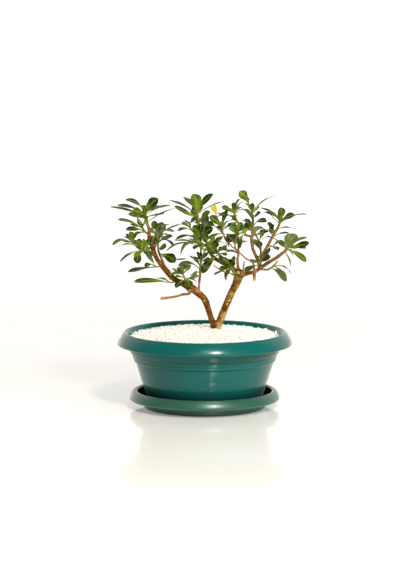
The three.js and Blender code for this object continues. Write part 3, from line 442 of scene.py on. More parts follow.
            (0.58, 113, -12, 177, 8, 12, 5), (0.44, 108, -40, 167, 12, -55), (0.62, 99, -43, 179, 8, 18),
        ),
    ),
    Shoot(
        "spray_right_mid", girth=(1.5, 1.1),
        stem=((72, -9, 186), (70, -10, 186), (71, -14, 189), (73, -18, 193)),
        leaves=(
            (0.76, 60, -37, 192, 9, 30), (0.72, 66, -35, 199, 8, 30), (0.44, 53, -36, 179, 9, 40),
            (0.9, 84, -39, 205, 8, 30), (0.81, 86, -35, 198, 11, 40),
        ),
    ),
    Shoot(
        "spray_right_back", girth=(1.6, 1.1), fill=(4, 20, 28),
        stem=((68, -2, 197), (73, 16, 201), (72, 40, 216), (66, 52, 230)),
        leaves=((1, 51, 37, 242, 11, 55), (1, 74, 75, 239, 11, 50)),
    ),
    Shoot(
        "spray_right_near", girth=(1.3, 1.0), fill=(2, 20, 28),
        stem=((45, -21, 205), (40, -36, 210), (40, -48, 221), (44, -55, 230)),
        leaves=((1, 51, -76, 239, 8, 35), (0.98, 36, -77, 239, 8, 35)),
    ),
    Shoot(
        "spray_knuckle", girth=(1.5, 1.1), fill=(1, 18, 24),
        stem=((40, 4, 180), (38, -2, 182), (35, -8, 185), (34, -12, 187)),
        leaves=(
            (0.96, 23, -33, 196, 9, 40), (0.66, 38, -25, 195, 11, 60), (0.69, 12, -27, 175, 9, 12, 1),
            (0.66, 28, -27, 173, 8, 40), (0.59, 51, -23, 171, 9, 30, -3), (0.81, 27, 12, 168, 9, 40),
        ),
    ),
)


class Sketch:
    """A material's or a world's nodes, built up step by step."""

    def __init__(self, owner: Material | bpy.types.World, shader: str = "Principled BSDF") -> None:
        """Starts from the owner's own shader.

        Args:
            owner: The new material or world.
            shader: The name of its shader node.
        """
        owner.use_nodes = True
        self.owner = owner
        self.tree = owner.node_tree
        self.shader = self.tree.nodes[shader]

    def fill(self, node: bpy.types.Node, values: Mapping[str | int, Value]) -> Sockets:
        """Sets a node's inputs, or links them where the value is a socket.

        Args:
            node: The node.
            values: What goes into its inputs.

        Returns:
            The node's outputs.
        """
        for key, value in values.items():
            if isinstance(value, Socket):
                self.tree.links.new(value, node.inputs[key])
            else:
                node.inputs[key].default_value = value
        return node.outputs

    def node(self, kind: str, values: Mapping[str | int, Value], **settings: object) -> Sockets:
        """A new node.

        Args:
            kind: The node's type name, without ShaderNode.
            values: What goes into its inputs.
            settings: The node's own properties.

        Returns:
            Its outputs.
        """
        made = self.tree.nodes.new("ShaderNode" + kind)
        for key, value in settings.items():
            setattr(made, key, value)
        return self.fill(made, values)

    def surface(self, **values: Value) -> Material | bpy.types.World:
        """Fills the shader's own inputs, whose names have _ for each space here.

        Args:
            values: What goes into them.

        Returns:
            The finished material or world.
        """
        self.fill(self.shader, {name.replace("_", " "): value for name, value in values.items()})
        return self.owner

    def spot(self) -> Socket:
        """The place on the object, in metres."""
        return self.node("TexCoord", {})["Object"]

    def axes(self, source: Socket) -> Sockets:
        """The X, Y and Z of coordinates."""
        return self.node("SeparateXYZ", {0: source})

    def channels(self, source: Socket) -> Sockets:
        """The Red, Green and Blue of a colour."""
        return self.node("SeparateColor", {0: source})

    def marks(self) -> Sockets:
        """The three growth marks that the mesh holds in its colour attribute."""
        return self.channels(self.node("VertexColor", {}, layer_name=GROWTH)["Color"])

    def scaled(self, source: Socket, scale: Triple) -> Socket:
        """Coordinates that are stretched by a factor along each axis."""
        return self.node("Mapping", {"Vector": source, "Scale": scale})["Vector"]

    def grain(self, source: Socket, scale: float, detail: float = 4, rough: float = 0.55) -> Socket:
        """A cloudy noise from 0 to 1 with so many clouds to a unit, and finer layers of some roughness."""
        values = {"Vector": source, "Scale": scale, "Detail": detail, "Roughness": rough}
        return self.node("TexNoise", values)["Fac"]

    def cells(self, source: Socket, scale: float) -> Sockets:
        """A pattern of so many cells to a unit, with each cell's Color and the Distance to its middle."""
        return self.node("TexVoronoi", {"Vector": source, "Scale": scale})

    def maths(self, operation: str, first: Value, second: Value = 0) -> Socket:
        """The result of one sum, product or other step."""
        return self.node("Math", {0: first, 1: second}, operation=operation)["Value"]

    def between(self, value: Socket, low: float, high: float, start: float = 0, end: float = 1) -> Socket:
        """A value that runs smoothly from start to end while its source runs from low to high."""
        values = dict(enumerate((value, low, high, start, end)))
        return self.node("MapRange", values, interpolation_type="SMOOTHSTEP")["Result"]

    def blend(self, share: Value, first: Value, second: Value, mode: str = "MIX") -> Socket:
        """Two colours mixed by a share.

        Args:
            share: How much of the second colour there is.
            first: The colour at share 0.
            second: The colour at share 1.
            mode: How they are blended.

        Returns:
            The mixed colour.
        """
        first, second = ((*value, 1) if isinstance(value, tuple) else value for value in (first, second))
        values = {0: share, 6: first, 7: second}
        return self.node("Mix", values, data_type="RGBA", blend_type=mode)[2]

    def steps(self, value: Socket, stops: Sequence[tuple[float, Colour]]) -> Socket:
        """A colour that is read off a ramp.

        Args:
            value: Where on the ramp it is read.
            stops: The places and colours of the ramp.

        Returns:
            The colour.
        """
        made = self.tree.nodes.new("ShaderNodeValToRGB")
        elements = made.color_ramp.elements
        while len(elements) < len(stops):
            elements.new(1)
        for element, (place, colour) in zip(elements, stops):
            element.position, element.color = place, (*colour, 1)
        return self.fill(made, {"Fac": value})["Color"]

    def relief(self, height: Socket, strength: float, depth: float) -> Socket:
        """The normals of a surface that a height map raises by some depth in metres."""
        return self.node("Bump", {"Strength": strength, "Distance": depth, "Height": height})["Normal"]


def sketched(name: str) -> Sketch:
    """A sketch for a new material."""
    return Sketch(bpy.data.materials.new(name))


@dataclass(frozen=True)
class MouldedPlastic:
    """Moulded plastic with a faint flow pattern, a film of dust and, up to a height, painted shade."""

    name: str
    colour: Colour
    deep: Colour
    roughness: float
    gloss: float
    sheen: float = 0.6
    painted_shade_to: float = 0
    dust: Colour = (0.3, 0.36, 0.33)
    painted_shade: Colour = (0.004, 0.01, 0.01)
    veil: Colour = (1, 0.93, 0.8)

    def make(self) -> Material:
        """Builds the finish.

        Returns:
            The material.
        """
        sketch = sketched(self.name)
        spot = sketch.spot()
        flow = sketch.grain(sketch.scaled(spot, (9, 9, 40)), 2, detail=3)
        colour = sketch.blend(sketch.between(flow, 0.35, 0.7), self.deep, self.colour)
        dust = sketch.between(sketch.grain(spot, 260, detail=5), 0.64, 0.8, 0, 0.05)
        colour = sketch.blend(dust, colour, self.dust)
        haze = sketch.grain(sketch.scaled(spot, (60, 60, 14)), 5, detail=6, rough=0.7)
        roughness = sketch.between(haze, 0.3, 0.75, self.roughness - 0.03, self.roughness + 0.05)
        # Up to a height the colour is darkened and roughened: painted shade and a painted dark reflection
        # of the saucer below.
        if self.painted_shade_to > 0:
            height = sketch.axes(spot)["Z"]
            painted_shade = sketch.between(height, 0.4 * self.painted_shade_to, self.painted_shade_to, 0.8, 0)
            colour = sketch.blend(painted_shade, colour, self.painted_shade)
            roughness = sketch.maths("MAXIMUM", roughness, painted_shade)
        return sketch.surface(
            Base_Color=colour,
            Roughness=roughness,
            Normal=sketch.relief(sketch.grain(spot, 420, detail=2), 0.05, 0.4 * MM),
            Specular_IOR_Level=self.gloss,
            Sheen_Weight=self.sheen,
            Sheen_Roughness=0.3,
            Sheen_Tint=(*self.veil, 1),
        )


@dataclass(frozen=True)
class WhiteStone:
    """Chalky white stones with a warm tint, each a little lighter or darker."""

    name: str = "white_stone"
    pale: Colour = (0.965, 0.935, 0.895)
    shade: Colour = (0.82, 0.76, 0.71)
    depth: Triple = (0.002, 0.0018, 0.0014)

    def make(self) -> Material:
        """Builds the finish.

        Returns:
            The material.
        """
        sketch = sketched(self.name)
        spot = sketch.spot()
        tone = sketch.channels(sketch.cells(spot, 330)["Color"])["Red"]
        colour = sketch.blend(sketch.between(tone, 0.6, 1, 0, 0.7), self.pale, self.shade)
        grit = sketch.grain(spot, 1500, detail=4)
        return sketch.surface(
            Base_Color=sketch.blend(sketch.between(grit, 0.35, 0.8, 0, 0.3), colour, self.pale),
            Normal=sketch.relief(grit, 0.35, 0.4 * MM),
            Roughness=0.75,
            Subsurface_Weight=0.15,
            Subsurface_Radius=self.depth,
        )


@dataclass(frozen=True)
class DarkSoil:
    """Moist crumbly soil."""

    name: str = "dark_soil"
    wet: Colour = (0.012, 0.008, 0.005)
    crumb: Colour = (0.06, 0.035, 0.02)

    def make(self) -> Material:
        """Builds the finish.

        Returns:
            The material.
        """
        sketch = sketched(self.name)
        crumbs = sketch.grain(sketch.spot(), 260, detail=8, rough=0.7)
        colour = sketch.steps(crumbs, ((0.3, self.wet), (0.65, self.crumb)))
        return sketch.surface(Base_Color=colour, Normal=sketch.relief(crumbs, 0.8, 2 * MM), Roughness=0.9)


@dataclass(frozen=True)
class Bark:
    """Thin orange-brown bark with fine cracks, pores and pale scars.

    The wood's growth marks say how old each spot is, where it was cut, and where the right trunk's
    yellower and more mottled side is; that mark is stronger on faces turned to the right, as painted light.
    That side turns olive between two heights and pale at the foot.
    """

    name: str = "bark"
    ginger: Colour = (0.1, 0.03, 0.002)
    tan: Colour = (0.24, 0.095, 0.009)
    ochre: Colour = (0.58, 0.38, 0.08)
    olive: Colour = (0.18, 0.12, 0.012)
    crack: Colour = (0.05, 0.022, 0.007)
    cut: Colour = (0.6, 0.42, 0.2)
    young_light: Colour = (0.46, 0.24, 0.12)
    young_dark: Colour = (0.33, 0.16, 0.06)
    olive_heights: Span = (0.145, 0.172)
    foot_heights: Span = (0.122, 0.102)

    def make(self) -> Material:
        """Builds the finish.

        Returns:
            The material.
        """
        sketch = sketched(self.name)
        spot, marks = sketch.spot(), sketch.marks()
        age, cut, side = marks["Red"], marks["Green"], marks["Blue"]
        height = sketch.axes(spot)["Z"]
        patches = sketch.grain(spot, 95, detail=5, rough=0.65)
        mottled = sketch.grain(spot, 190, detail=5, rough=0.6)
        places = (0.36, 0.46, 0.54, 0.62, 0.7)
        tones = (self.ginger, self.tan, self.ochre, self.ochre, self.olive)
        lichen = sketch.steps(mottled, list(zip(places, tones)))
        high = sketch.between(height, *self.olive_heights, 0, 0.7)
        lichen = sketch.blend(high, lichen, sketch.blend(mottled, self.olive, self.ochre))
        colour = sketch.blend(sketch.between(patches, 0.38, 0.66), self.ginger, self.tan)
        # The side mark is real mottling, and partly painted light: it is stronger on faces turned to the
        # right.
        colour = sketch.blend(side, colour, lichen)
        foot = sketch.maths("MULTIPLY", side, sketch.between(height, *self.foot_heights, 0, 0.75))
        colour = sketch.blend(foot, colour, self.cut)
        cracks = sketch.grain(sketch.scaled(spot, (420, 420, 130)), 1, detail=6, rough=0.75)
        colour = sketch.blend(sketch.between(cracks, 0.55, 0.7, 0, 0.85), colour, self.crack)
        pore = sketch.between(sketch.cells(spot, 300)["Distance"], 0.1, 0.2, 0.7, 0)
        colour = sketch.blend(pore, colour, self.cut)
        young = sketch.blend(sketch.between(mottled, 0.3, 0.7), self.young_light, self.young_dark)
        return sketch.surface(
            Base_Color=sketch.blend(cut, sketch.blend(age, young, colour), self.cut),
            Normal=sketch.relief(sketch.maths("SUBTRACT", patches, cracks), 0.6, 1.2 * MM),
            Roughness=0.8,
            Specular_IOR_Level=0.08,
        )


@dataclass(frozen=True)
class LeafSkin:
    """One face of a leathery leaf, with its midrib and side veins read from the leaf's own map.

    On the map, X runs across the blade with the midrib at a half, and Y from the stalk to the tip. The
    stem's growth marks say how young and how yellow each leaf is, and give it a tone of its own.
    """

    name: str
    mature: Colour
    fresh: Colour
    yellow: Colour
    rib: Colour
    rib_share: float
    roughness: float
    gloss: float
    darker: Colour = (0.42, 0.5, 0.5)
    vein_slant: float = 0.55
    vein_turns: float = 62

    def make(self) -> Material:
        """Builds the finish.

        Returns:
            The material.
        """
        sketch = sketched(self.name)
        spot, marks = sketch.spot(), sketch.marks()
        youth, tone, dying = marks["Red"], marks["Green"], marks["Blue"]
        blade = sketch.axes(sketch.node("UVMap", {}, uv_map=BLADE_MAP)["UV"])
        off_rib = sketch.maths("ABSOLUTE", sketch.maths("SUBTRACT", blade["X"], 0.5))
        slant = sketch.maths("SUBTRACT", blade["Y"], sketch.maths("MULTIPLY", off_rib, self.vein_slant))
        veins = sketch.maths("SINE", sketch.maths("MULTIPLY", slant, self.vein_turns))
        veins = sketch.between(veins, 0.72, 1)
        veins = sketch.maths("MULTIPLY", veins, sketch.between(off_rib, 0.42, 0.2))
        rib = sketch.between(off_rib, 0.055, 0.015)
        green = sketch.blend(youth, self.mature, self.fresh)
        darker = sketch.blend(1.0, green, self.darker, mode="MULTIPLY")
        cloud = sketch.between(sketch.grain(spot, 140, detail=3), 0.35, 0.7)
        green = sketch.blend(tone, darker, sketch.blend(cloud, darker, green))
        green = sketch.blend(sketch.between(blade["Y"], 0.6, 0.12, 0, 0.95), green, self.fresh)
        green = sketch.blend(dying, green, self.yellow)
        colour = sketch.blend(sketch.maths("MULTIPLY", veins, 0.22), green, self.rib)
        colour = sketch.blend(sketch.maths("MULTIPLY", rib, self.rib_share), colour, self.rib)
        speckle = sketch.grain(spot, 900, detail=2)
        height = sketch.maths("ADD", sketch.maths("MULTIPLY", veins, 0.5), rib)
        return sketch.surface(
            Base_Color=sketch.blend(sketch.between(off_rib, 0.455, 0.5, 0, 0.35), colour, self.rib),
            Roughness=sketch.between(speckle, 0.3, 0.7, self.roughness - 0.06, self.roughness + 0.08),
            Normal=sketch.relief(height, 0.35, -0.4 * MM),
            Specular_IOR_Level=self.gloss,
        )


@dataclass(frozen=True)
class GreenStalk:
    """The skin of a young stem and of the leaf stalks: brown below and yellow-green above."""

    name: str = "green_stalk"
    browns: tuple[Colour, Colour] = ((0.17, 0.065, 0.015), (0.3, 0.15, 0.045))
    greens: tuple[Colour, Colour] = ((0.24, 0.25, 0.035), (0.4, 0.4, 0.08))

    def make(self) -> Material:
        """Builds the finish.

        Returns:
            The material.
        """
        sketch = sketched(self.name)
        cloud = sketch.grain(sketch.spot(), 300, detail=4)
        share = sketch.between(cloud, 0.35, 0.7)
        brown, green = (sketch.blend(share, *pair) for pair in (self.browns, self.greens))
        colour = sketch.blend(sketch.marks()["Red"], brown, green)
        return sketch.surface(Base_Color=colour, Normal=sketch.relief(cloud, 0.4, 0.6 * MM), Roughness=0.55)


@dataclass(frozen=True)
class PaleFloor:
    """A smooth warm white table top that glows more and more away from the object."""

    name: str = "pale_floor"
    shade: Colour = (0.86, 0.83, 0.79)
    pale: Colour = (0.88, 0.86, 0.83)
    glow: Colour = (1, 0.975, 0.93)

    def make(self) -> Material:
        """Builds the finish.

        Returns:
            The material.
        """
        sketch = sketched(self.name)
        spot = sketch.spot()
        cloud = sketch.between(sketch.grain(spot, 6, detail=3), 0.3, 0.7)
        away = sketch.node("VectorMath", {0: spot}, operation="LENGTH")["Value"]
        return sketch.surface(
            Base_Color=sketch.blend(cloud, self.shade, self.pale),
            Emission_Strength=sketch.between(away, 0.3, 3, 0.2, 0.65),
            Emission_Color=(*self.glow, 1),
            Roughness=0.1,
            Specular_IOR_Level=0.35,
        )


def finish_mesh(name: str, mesh: Mesh, materials: Iterable[Material], crease: float = 40) -> Piece:
    """Turns a bmesh into a shown object at the origin.

    Args:
        name: The object's name.
        mesh: The finished bmesh, which is freed.
        materials: Its materials, in the order of its faces' material places.
        crease: The angle in degrees above which an edge stays sharp.

    Returns:
        The object.
    """
    data = bpy.data.meshes.new(name)
    for face in mesh.faces:
        face.smooth = True
    mesh.to_mesh(data)
    mesh.free()
    data.set_sharp_from_angle(angle=math.radians(crease))
    for material in materials:
        data.materials.append(material)
    piece = bpy.data.objects.new(name, data)
    bpy.context.scene.collection.objects.link(piece)
    return piece


def settle(piece: Piece, slot: Slot, *nodes: str) -> None:
    """Makes a piece ride on the object's one body and stand for its nodes.

    Args:
        piece: The finished piece.
        slot: The record's slot for the piece; it is not used.
        nodes: The nodes that it stands for.
    """
    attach(piece, BODY)
    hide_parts(*nodes)
    LOG.info("%s: %d faces", piece.name, len(piece.data.polygons))


def applied(piece: Piece) -> None:
    """Applies a piece's modifiers to its mesh.

    Args:
        piece: The piece.
    """
    graph = bpy.context.evaluated_depsgraph_get()
    made = bpy.data.meshes.new_from_object(piece.evaluated_get(graph), depsgraph=graph)
    old = piece.data
    piece.modifiers.clear()
    piece.data = made
    bpy.data.meshes.remove(old)


def absorb(whole: Mesh, part: Mesh) -> None:
    """Moves a part's geometry into the whole.

    Args:
        whole: The bmesh that grows.
        part: The part, which is freed.
    """
    data = bpy.data.meshes.new("part")
    part.to_mesh(data)
    part.free()
    whole.from_mesh(data)
    bpy.data.meshes.remove(data)


def clamped(value: float, low: float = 0, high: float = 1) -> float:
    """The value, kept between low and high."""
    return min(max(value, low), high)


def rounded(profile: Sequence[Triple], segments: int = 5) -> list[Span]:
    """A turned profile with its corners rounded.

    Args:
        profile: Its corners as (radius, height, rounding), in millimetres.
        segments: How many straight pieces a rounded corner has.

    Returns:
        The points of the profile as (radius, height).
    """
    points = []
    last = len(profile) - 1
    for i, (radius, height, rounding) in enumerate(profile):
        corner = Vector((radius, height))
        if not rounding or i in (0, last):
            points.append((radius, height))
            continue
        before = Vector(profile[i - 1][:2]) - corner
        after = Vector(profile[i + 1][:2]) - corner
        start = corner + before.normalized() * min(rounding, before.length * CORNER_REACH)
        end = corner + after.normalized() * min(rounding, after.length * CORNER_REACH)
        for step in range(segments + 1):
            share = step / segments
            spot = start.lerp(corner, share).lerp(corner.lerp(end, share), share)
            points.append((spot.x, spot.y))
    return points


def turned(profile: Sequence[Span], sides: int) -> Mesh:
    """A closed body that is spun round the upright axis.

    Args:
        profile: Its points as (radius, height) in millimetres, from axis to axis.
        sides: How many steps the spin has.

    Returns:
        The body's bmesh.
    """
    mesh = bmesh.new()
    corners = [mesh.verts.new((radius * MM, 0, height * MM)) for radius, height in profile]
    edges = [mesh.edges.new(pair) for pair in zip(corners, corners[1:])]
    bmesh.ops.spin(
        mesh,
        geom=corners + edges,
        cent=(0, 0, 0),
        axis=(0, 0, 1),
        angle=2 * math.pi,
        steps=sides,
        use_merge=True,
    )
    bmesh.ops.remove_doubles(mesh, verts=mesh.verts, dist=0.01 * MM)
    bmesh.ops.recalc_face_normals(mesh, faces=mesh.faces)
    return mesh


def part_off(mesh: Mesh, second: Callable[[Vector, Vector], bool]) -> None:
    """Gives some faces the second material.

    Args:
        mesh: The bmesh.
        second: Whether a face with this centre and normal is one of them.
    """
    mesh.normal_update()
    for face in mesh.faces:
        if second(face.calc_center_median(), face.normal):
            face.material_index = 1


def smooth_route(points: Sequence[Vector], share: float) -> Vector:
    """The place on a smooth curve through the points.

    Args:
        points: The points that the curve goes through.
        share: How far along the points it is, from 0 to 1.

    Returns:
        The place.
    """
    spans = len(points) - 1
    span = min(int(share * spans), spans - 1)
    part = share * spans - span
    start, end = points[span], points[span + 1]
    before = points[span - 1] if span else start * 2 - end
    after = points[span + 2] if span + 2 < len(points) else end * 2 - start
    gaps = [max((b - a).length, 1e-6) ** 0.5 for a, b in ((before, start), (start, end), (end, after))]
    leave = ((start - before) / gaps[0] - (end - before) / (gaps[0] + gaps[1]) + (end - start) / gaps[1])
    arrive = ((end - start) / gaps[1] - (after - start) / (gaps[1] + gaps[2]) + (after - end) / gaps[2])
    leave *= gaps[1]
    arrive *= gaps[1]
    square, cube = part * part, part * part * part
    return (
        start * (2 * cube - 3 * square + 1)
        + leave * (cube - 2 * square + part)
        + end * (3 * square - 2 * cube)
        + arrive * (cube - square)
    )


def at_length(points: Sequence[Vector], wanted: float) -> Vector:
    """The place on a smooth curve that a share of its length leads to.

    Args:
        points: The points that the curve goes through.
        wanted: The share of the length, from 0 to 1.

    Returns:
        The place.
    """
    count = SPOTS_TO_A_SPAN * (len(points) - 1)
    spots = [smooth_route(points, i / count) for i in range(count + 1)]
    runs = [0.0]
    for here, there in zip(spots, spots[1:]):
        runs.append(runs[-1] + (there - here).length)
    goal = wanted * runs[-1]
    for i in range(count):
        if runs[i + 1] >= goal:
            part = (goal - runs[i]) / max(runs[i + 1] - runs[i], 1e-9)
            return smooth_route(points, (i + part) / count)
    return points[-1]


def add_limb(
    mesh: Mesh, points: Sequence[Vector], radii: Sequence[float], sides: int, steps: int, swell: float = 0
) -> list[bmesh.types.BMFace]:
    """Adds a closed round tapered limb along a smooth curve.

    Args:
        mesh: The bmesh that it is added to.
        points: The points that it goes through, in metres.
        radii: Its radius at even steps along it, in metres.
        sides: How many sides it has.
        steps: How many rings each span has.
        swell: How much its radius swells and shrinks along it, as a share.

    Returns:
        Its faces.
    """
    count = steps * (len(points) - 1)
    across = None
    loops = []
    for i in range(count + 1):
        share = i / count
        here = smooth_route(points, share)
        ahead = smooth_route(points, min(share + 0.01, 1)) - smooth_route(points, max(share - 0.01, 0))
        along = ahead.normalized()
        if across is None:
            across = Vector((0, 1, 0)) if abs(along.y) < 0.95 else Vector((1, 0, 0))
        across = (across - along * across.dot(along)).normalized()
        place = share * (len(radii) - 1)
        low = min(int(place), len(radii) - 2)
        radius = radii[low] + (radii[low + 1] - radii[low]) * (place - low)
        radius *= 1 + swell * noise.noise(here * SWELLINGS_TO_A_METRE)
        frame = Matrix((across, along.cross(across), along)).transposed().to_4x4()
        frame.translation = here
        ring = bmesh.ops.create_circle(mesh, segments=sides, radius=radius, matrix=frame)["verts"]
        loops.append(ring)
    faces = []
    for lower, upper in zip(loops, loops[1:]):
        edges = dict.fromkeys(
            edge
            for ring in (lower, upper)
            for corner in ring
            for edge in corner.link_edges
            if edge.other_vert(corner) in ring
        )
        faces += bmesh.ops.bridge_loops(mesh, edges=list(edges))["faces"]
    return faces + [mesh.faces.new(loops[0][::-1]), mesh.faces.new(loops[-1])]


@dataclass
class Saucer:
    """The saucer under the bowl, with its floor inside painted dark as shade, in millimetres."""

    height: float = 23.2
    foot: float = 79.6
    radius: float = 98.9
    floor: float = 3
    lip: float = 10.6
    painted_shade_radius: float = 88.4
    sides: int = 128
    plastic: MouldedPlastic = MouldedPlastic(
        "saucer_teal", colour=(0.026, 0.118, 0.082), deep=(0.02, 0.1, 0.07), roughness=0.3, gloss=0.6,
        sheen=0.8
    )
    # The floor inside is near-black plastic without gloss or sheen: painted shade under the bowl.
    painted_shade_finish: MouldedPlastic = MouldedPlastic(
        "painted_shade_plastic", colour=(0.006, 0.012, 0.012), deep=(0.002, 0.004, 0.005), roughness=0.9, gloss=0,
        sheen=0
    )

    def profile(self) -> list[Span]:
        """The turned outline, from the underside out, up and back down inside.

        Returns:
            Its points as (radius, height).
        """
        foot, radius, lip = self.foot, self.radius, self.lip
        return rounded(
            (
                (0, 0, 0), (foot, 0, 1.4), (foot + 1.2, 7, 2), (89.6, 19.6, 1.2), (92.2, 20.4, 1.2),
                (95.3, 16.2, 2), (radius - 2.4, lip + 0.4, 0.6), (radius - 0.6, lip, 0.8),
                (radius, lip + 2.2, 1.6), (radius - 1.6, 17.2, 3), (95.4, 20.4, 0.3), (94.7, 20.7, 0.3),
                (94.1, 21.9, 0.8), (91.6, self.height, 1.6), (88.6, 21.8, 1.6), (84, 14.5, 4),
                (78.4, 5.6, 4), (75, self.floor, 3), (0, self.floor, 0),
            )
        )

    def in_painted_shade(self, centre: Vector, normal: Vector) -> bool:
        """Whether a face is on the floor inside, which is painted dark as shade."""
        return normal.z > 0.1 and centre.xy.length < self.painted_shade_radius * MM

    def build(self) -> None:
        """Builds the saucer."""
        mesh = turned(self.profile(), self.sides)
        part_off(mesh, self.in_painted_shade)
        piece = finish_mesh("saucer_dish", mesh, [self.plastic.make(), self.painted_shade_finish.make()])
        settle(piece, Slot.SAUCER, "saucer")


@dataclass
class Bowl:
    """The bowl with its turned-down rim, in millimetres."""

    rim: float = 115
    crest: float = 105
    height: float = 100.4
    drop: float = 17
    foot: float = 65
    low: float = 3.3
    floor: float = 9.3
    drain: float = 5
    drain_ring: float = 38
    drains: int = 4
    drain_sides: int = 32
    sides: int = 160
    # The body plastic is darkened below 38 mm: painted shade and painted dark reflection near the saucer.
    plastic: MouldedPlastic = MouldedPlastic(
        "bowl_teal", colour=(0.001, 0.118, 0.106), deep=(0.001, 0.105, 0.095), roughness=0.12, gloss=0.32,
        sheen=0.1, painted_shade_to=0.038
    )
    rim_plastic: MouldedPlastic = MouldedPlastic(
        "rim_teal", colour=(0.001, 0.118, 0.106), deep=(0.001, 0.105, 0.095), roughness=0.22, gloss=0.35
    )

    def profile(self) -> list[Span]:
        """The turned outline, from the underside out, up and back down inside.

        Returns:
            Its points as (radius, height).
        """
        rim, foot, low, edge = self.rim, self.foot, self.low, self.height - self.drop
        return rounded(
            (
                (0, low + 3, 0), (foot - 4.5, low + 3, 0.6), (foot - 4, low, 0.8), (foot, low, 0.8),
                (foot + 1, 5.4, 1), (71.5, 8.8, 4), (76.3, 15.5, 4), (79.2, 23, 4), (81.9, 31.7, 4),
                (85.3, 42.2, 2), (86.4, 46.4, 2), (89.4, 55.4, 2), (90.6, 60, 0.6), (91.1, 61, 0.5),
                (93.2, 61.8, 1.2), (94.3, 65.8, 0.4), (94.1, 66.3, 0.3), (94.6, 66.9, 0.5),
                (95.7, 70.8, 0.8), (95.5, 71.6, 0.5), (97.8, 72.8, 1.2), (98.9, 76.6, 2),
                (99.9, 80.6, 2), (100.4, 84, 2), (101.8, 93.6, 1.6), (104, 96.6, 1.6), (107.6, 95, 2),
                (rim - 3.8, edge + 7, 3), (rim - 2.6, edge + 0.6, 0.8), (rim - 0.8, edge, 0.5),
                (rim, edge + 1, 1), (rim - 0.8, edge + 4, 2), (rim - 2.4, edge + 7.6, 2),
                (rim - 5, edge + 11.8, 2), (rim - 6.6, edge + 13.9, 0.3), (rim - 7.2, edge + 14, 0.3),
                (rim - 8.1, edge + 15.5, 0.8), (self.crest, self.height, 2.4),
                (self.crest - 3, self.height - 1.2, 1.6), (99, 94, 2), (75.3, 22, 6), (70.5, 13.4, 4),
                (62, self.floor, 4), (0, self.floor, 0),
            )
        )

    def is_rim(self, centre: Vector, normal: Vector) -> bool:
        """Whether a face is on the outside of the turned-down rim."""
        high = centre.z > (self.height - self.drop) * MM
        return high and centre.xy.dot(normal.xy) > 0 and centre.xy.length > self.crest * MM

    def pins(self) -> Piece:
        """The pins that cut the drain holes.

        Returns:
            The pins as one object.
        """
        pins = bmesh.new()
        for i in range(self.drains):
            turn = (i + 0.5) * 2 * math.pi / self.drains
            centre = Vector((math.cos(turn), math.sin(turn), 0)) * self.drain_ring * MM
            centre.z = self.floor / 2 * MM
            bmesh.ops.create_cone(
                pins,
                cap_ends=True,
                segments=self.drain_sides,
                radius1=self.drain * MM,
                radius2=self.drain * MM,
                depth=(self.floor + 6) * MM,
                matrix=Matrix.Translation(centre),
            )
        return finish_mesh("drain_pins", pins, [])

    def build(self) -> None:
        """Builds the bowl and cuts its drain holes."""
        mesh = turned(self.profile(), self.sides)
        part_off(mesh, self.is_rim)
        piece = finish_mesh("bowl", mesh, [self.plastic.make(), self.rim_plastic.make()])
        cutter = self.pins()
        cut = piece.modifiers.new("drains", "BOOLEAN")
        cut.operation = "DIFFERENCE"
        cut.object = cutter
        applied(piece)
        bpy.data.objects.remove(cutter)
        settle(piece, Slot.POT, "pot")


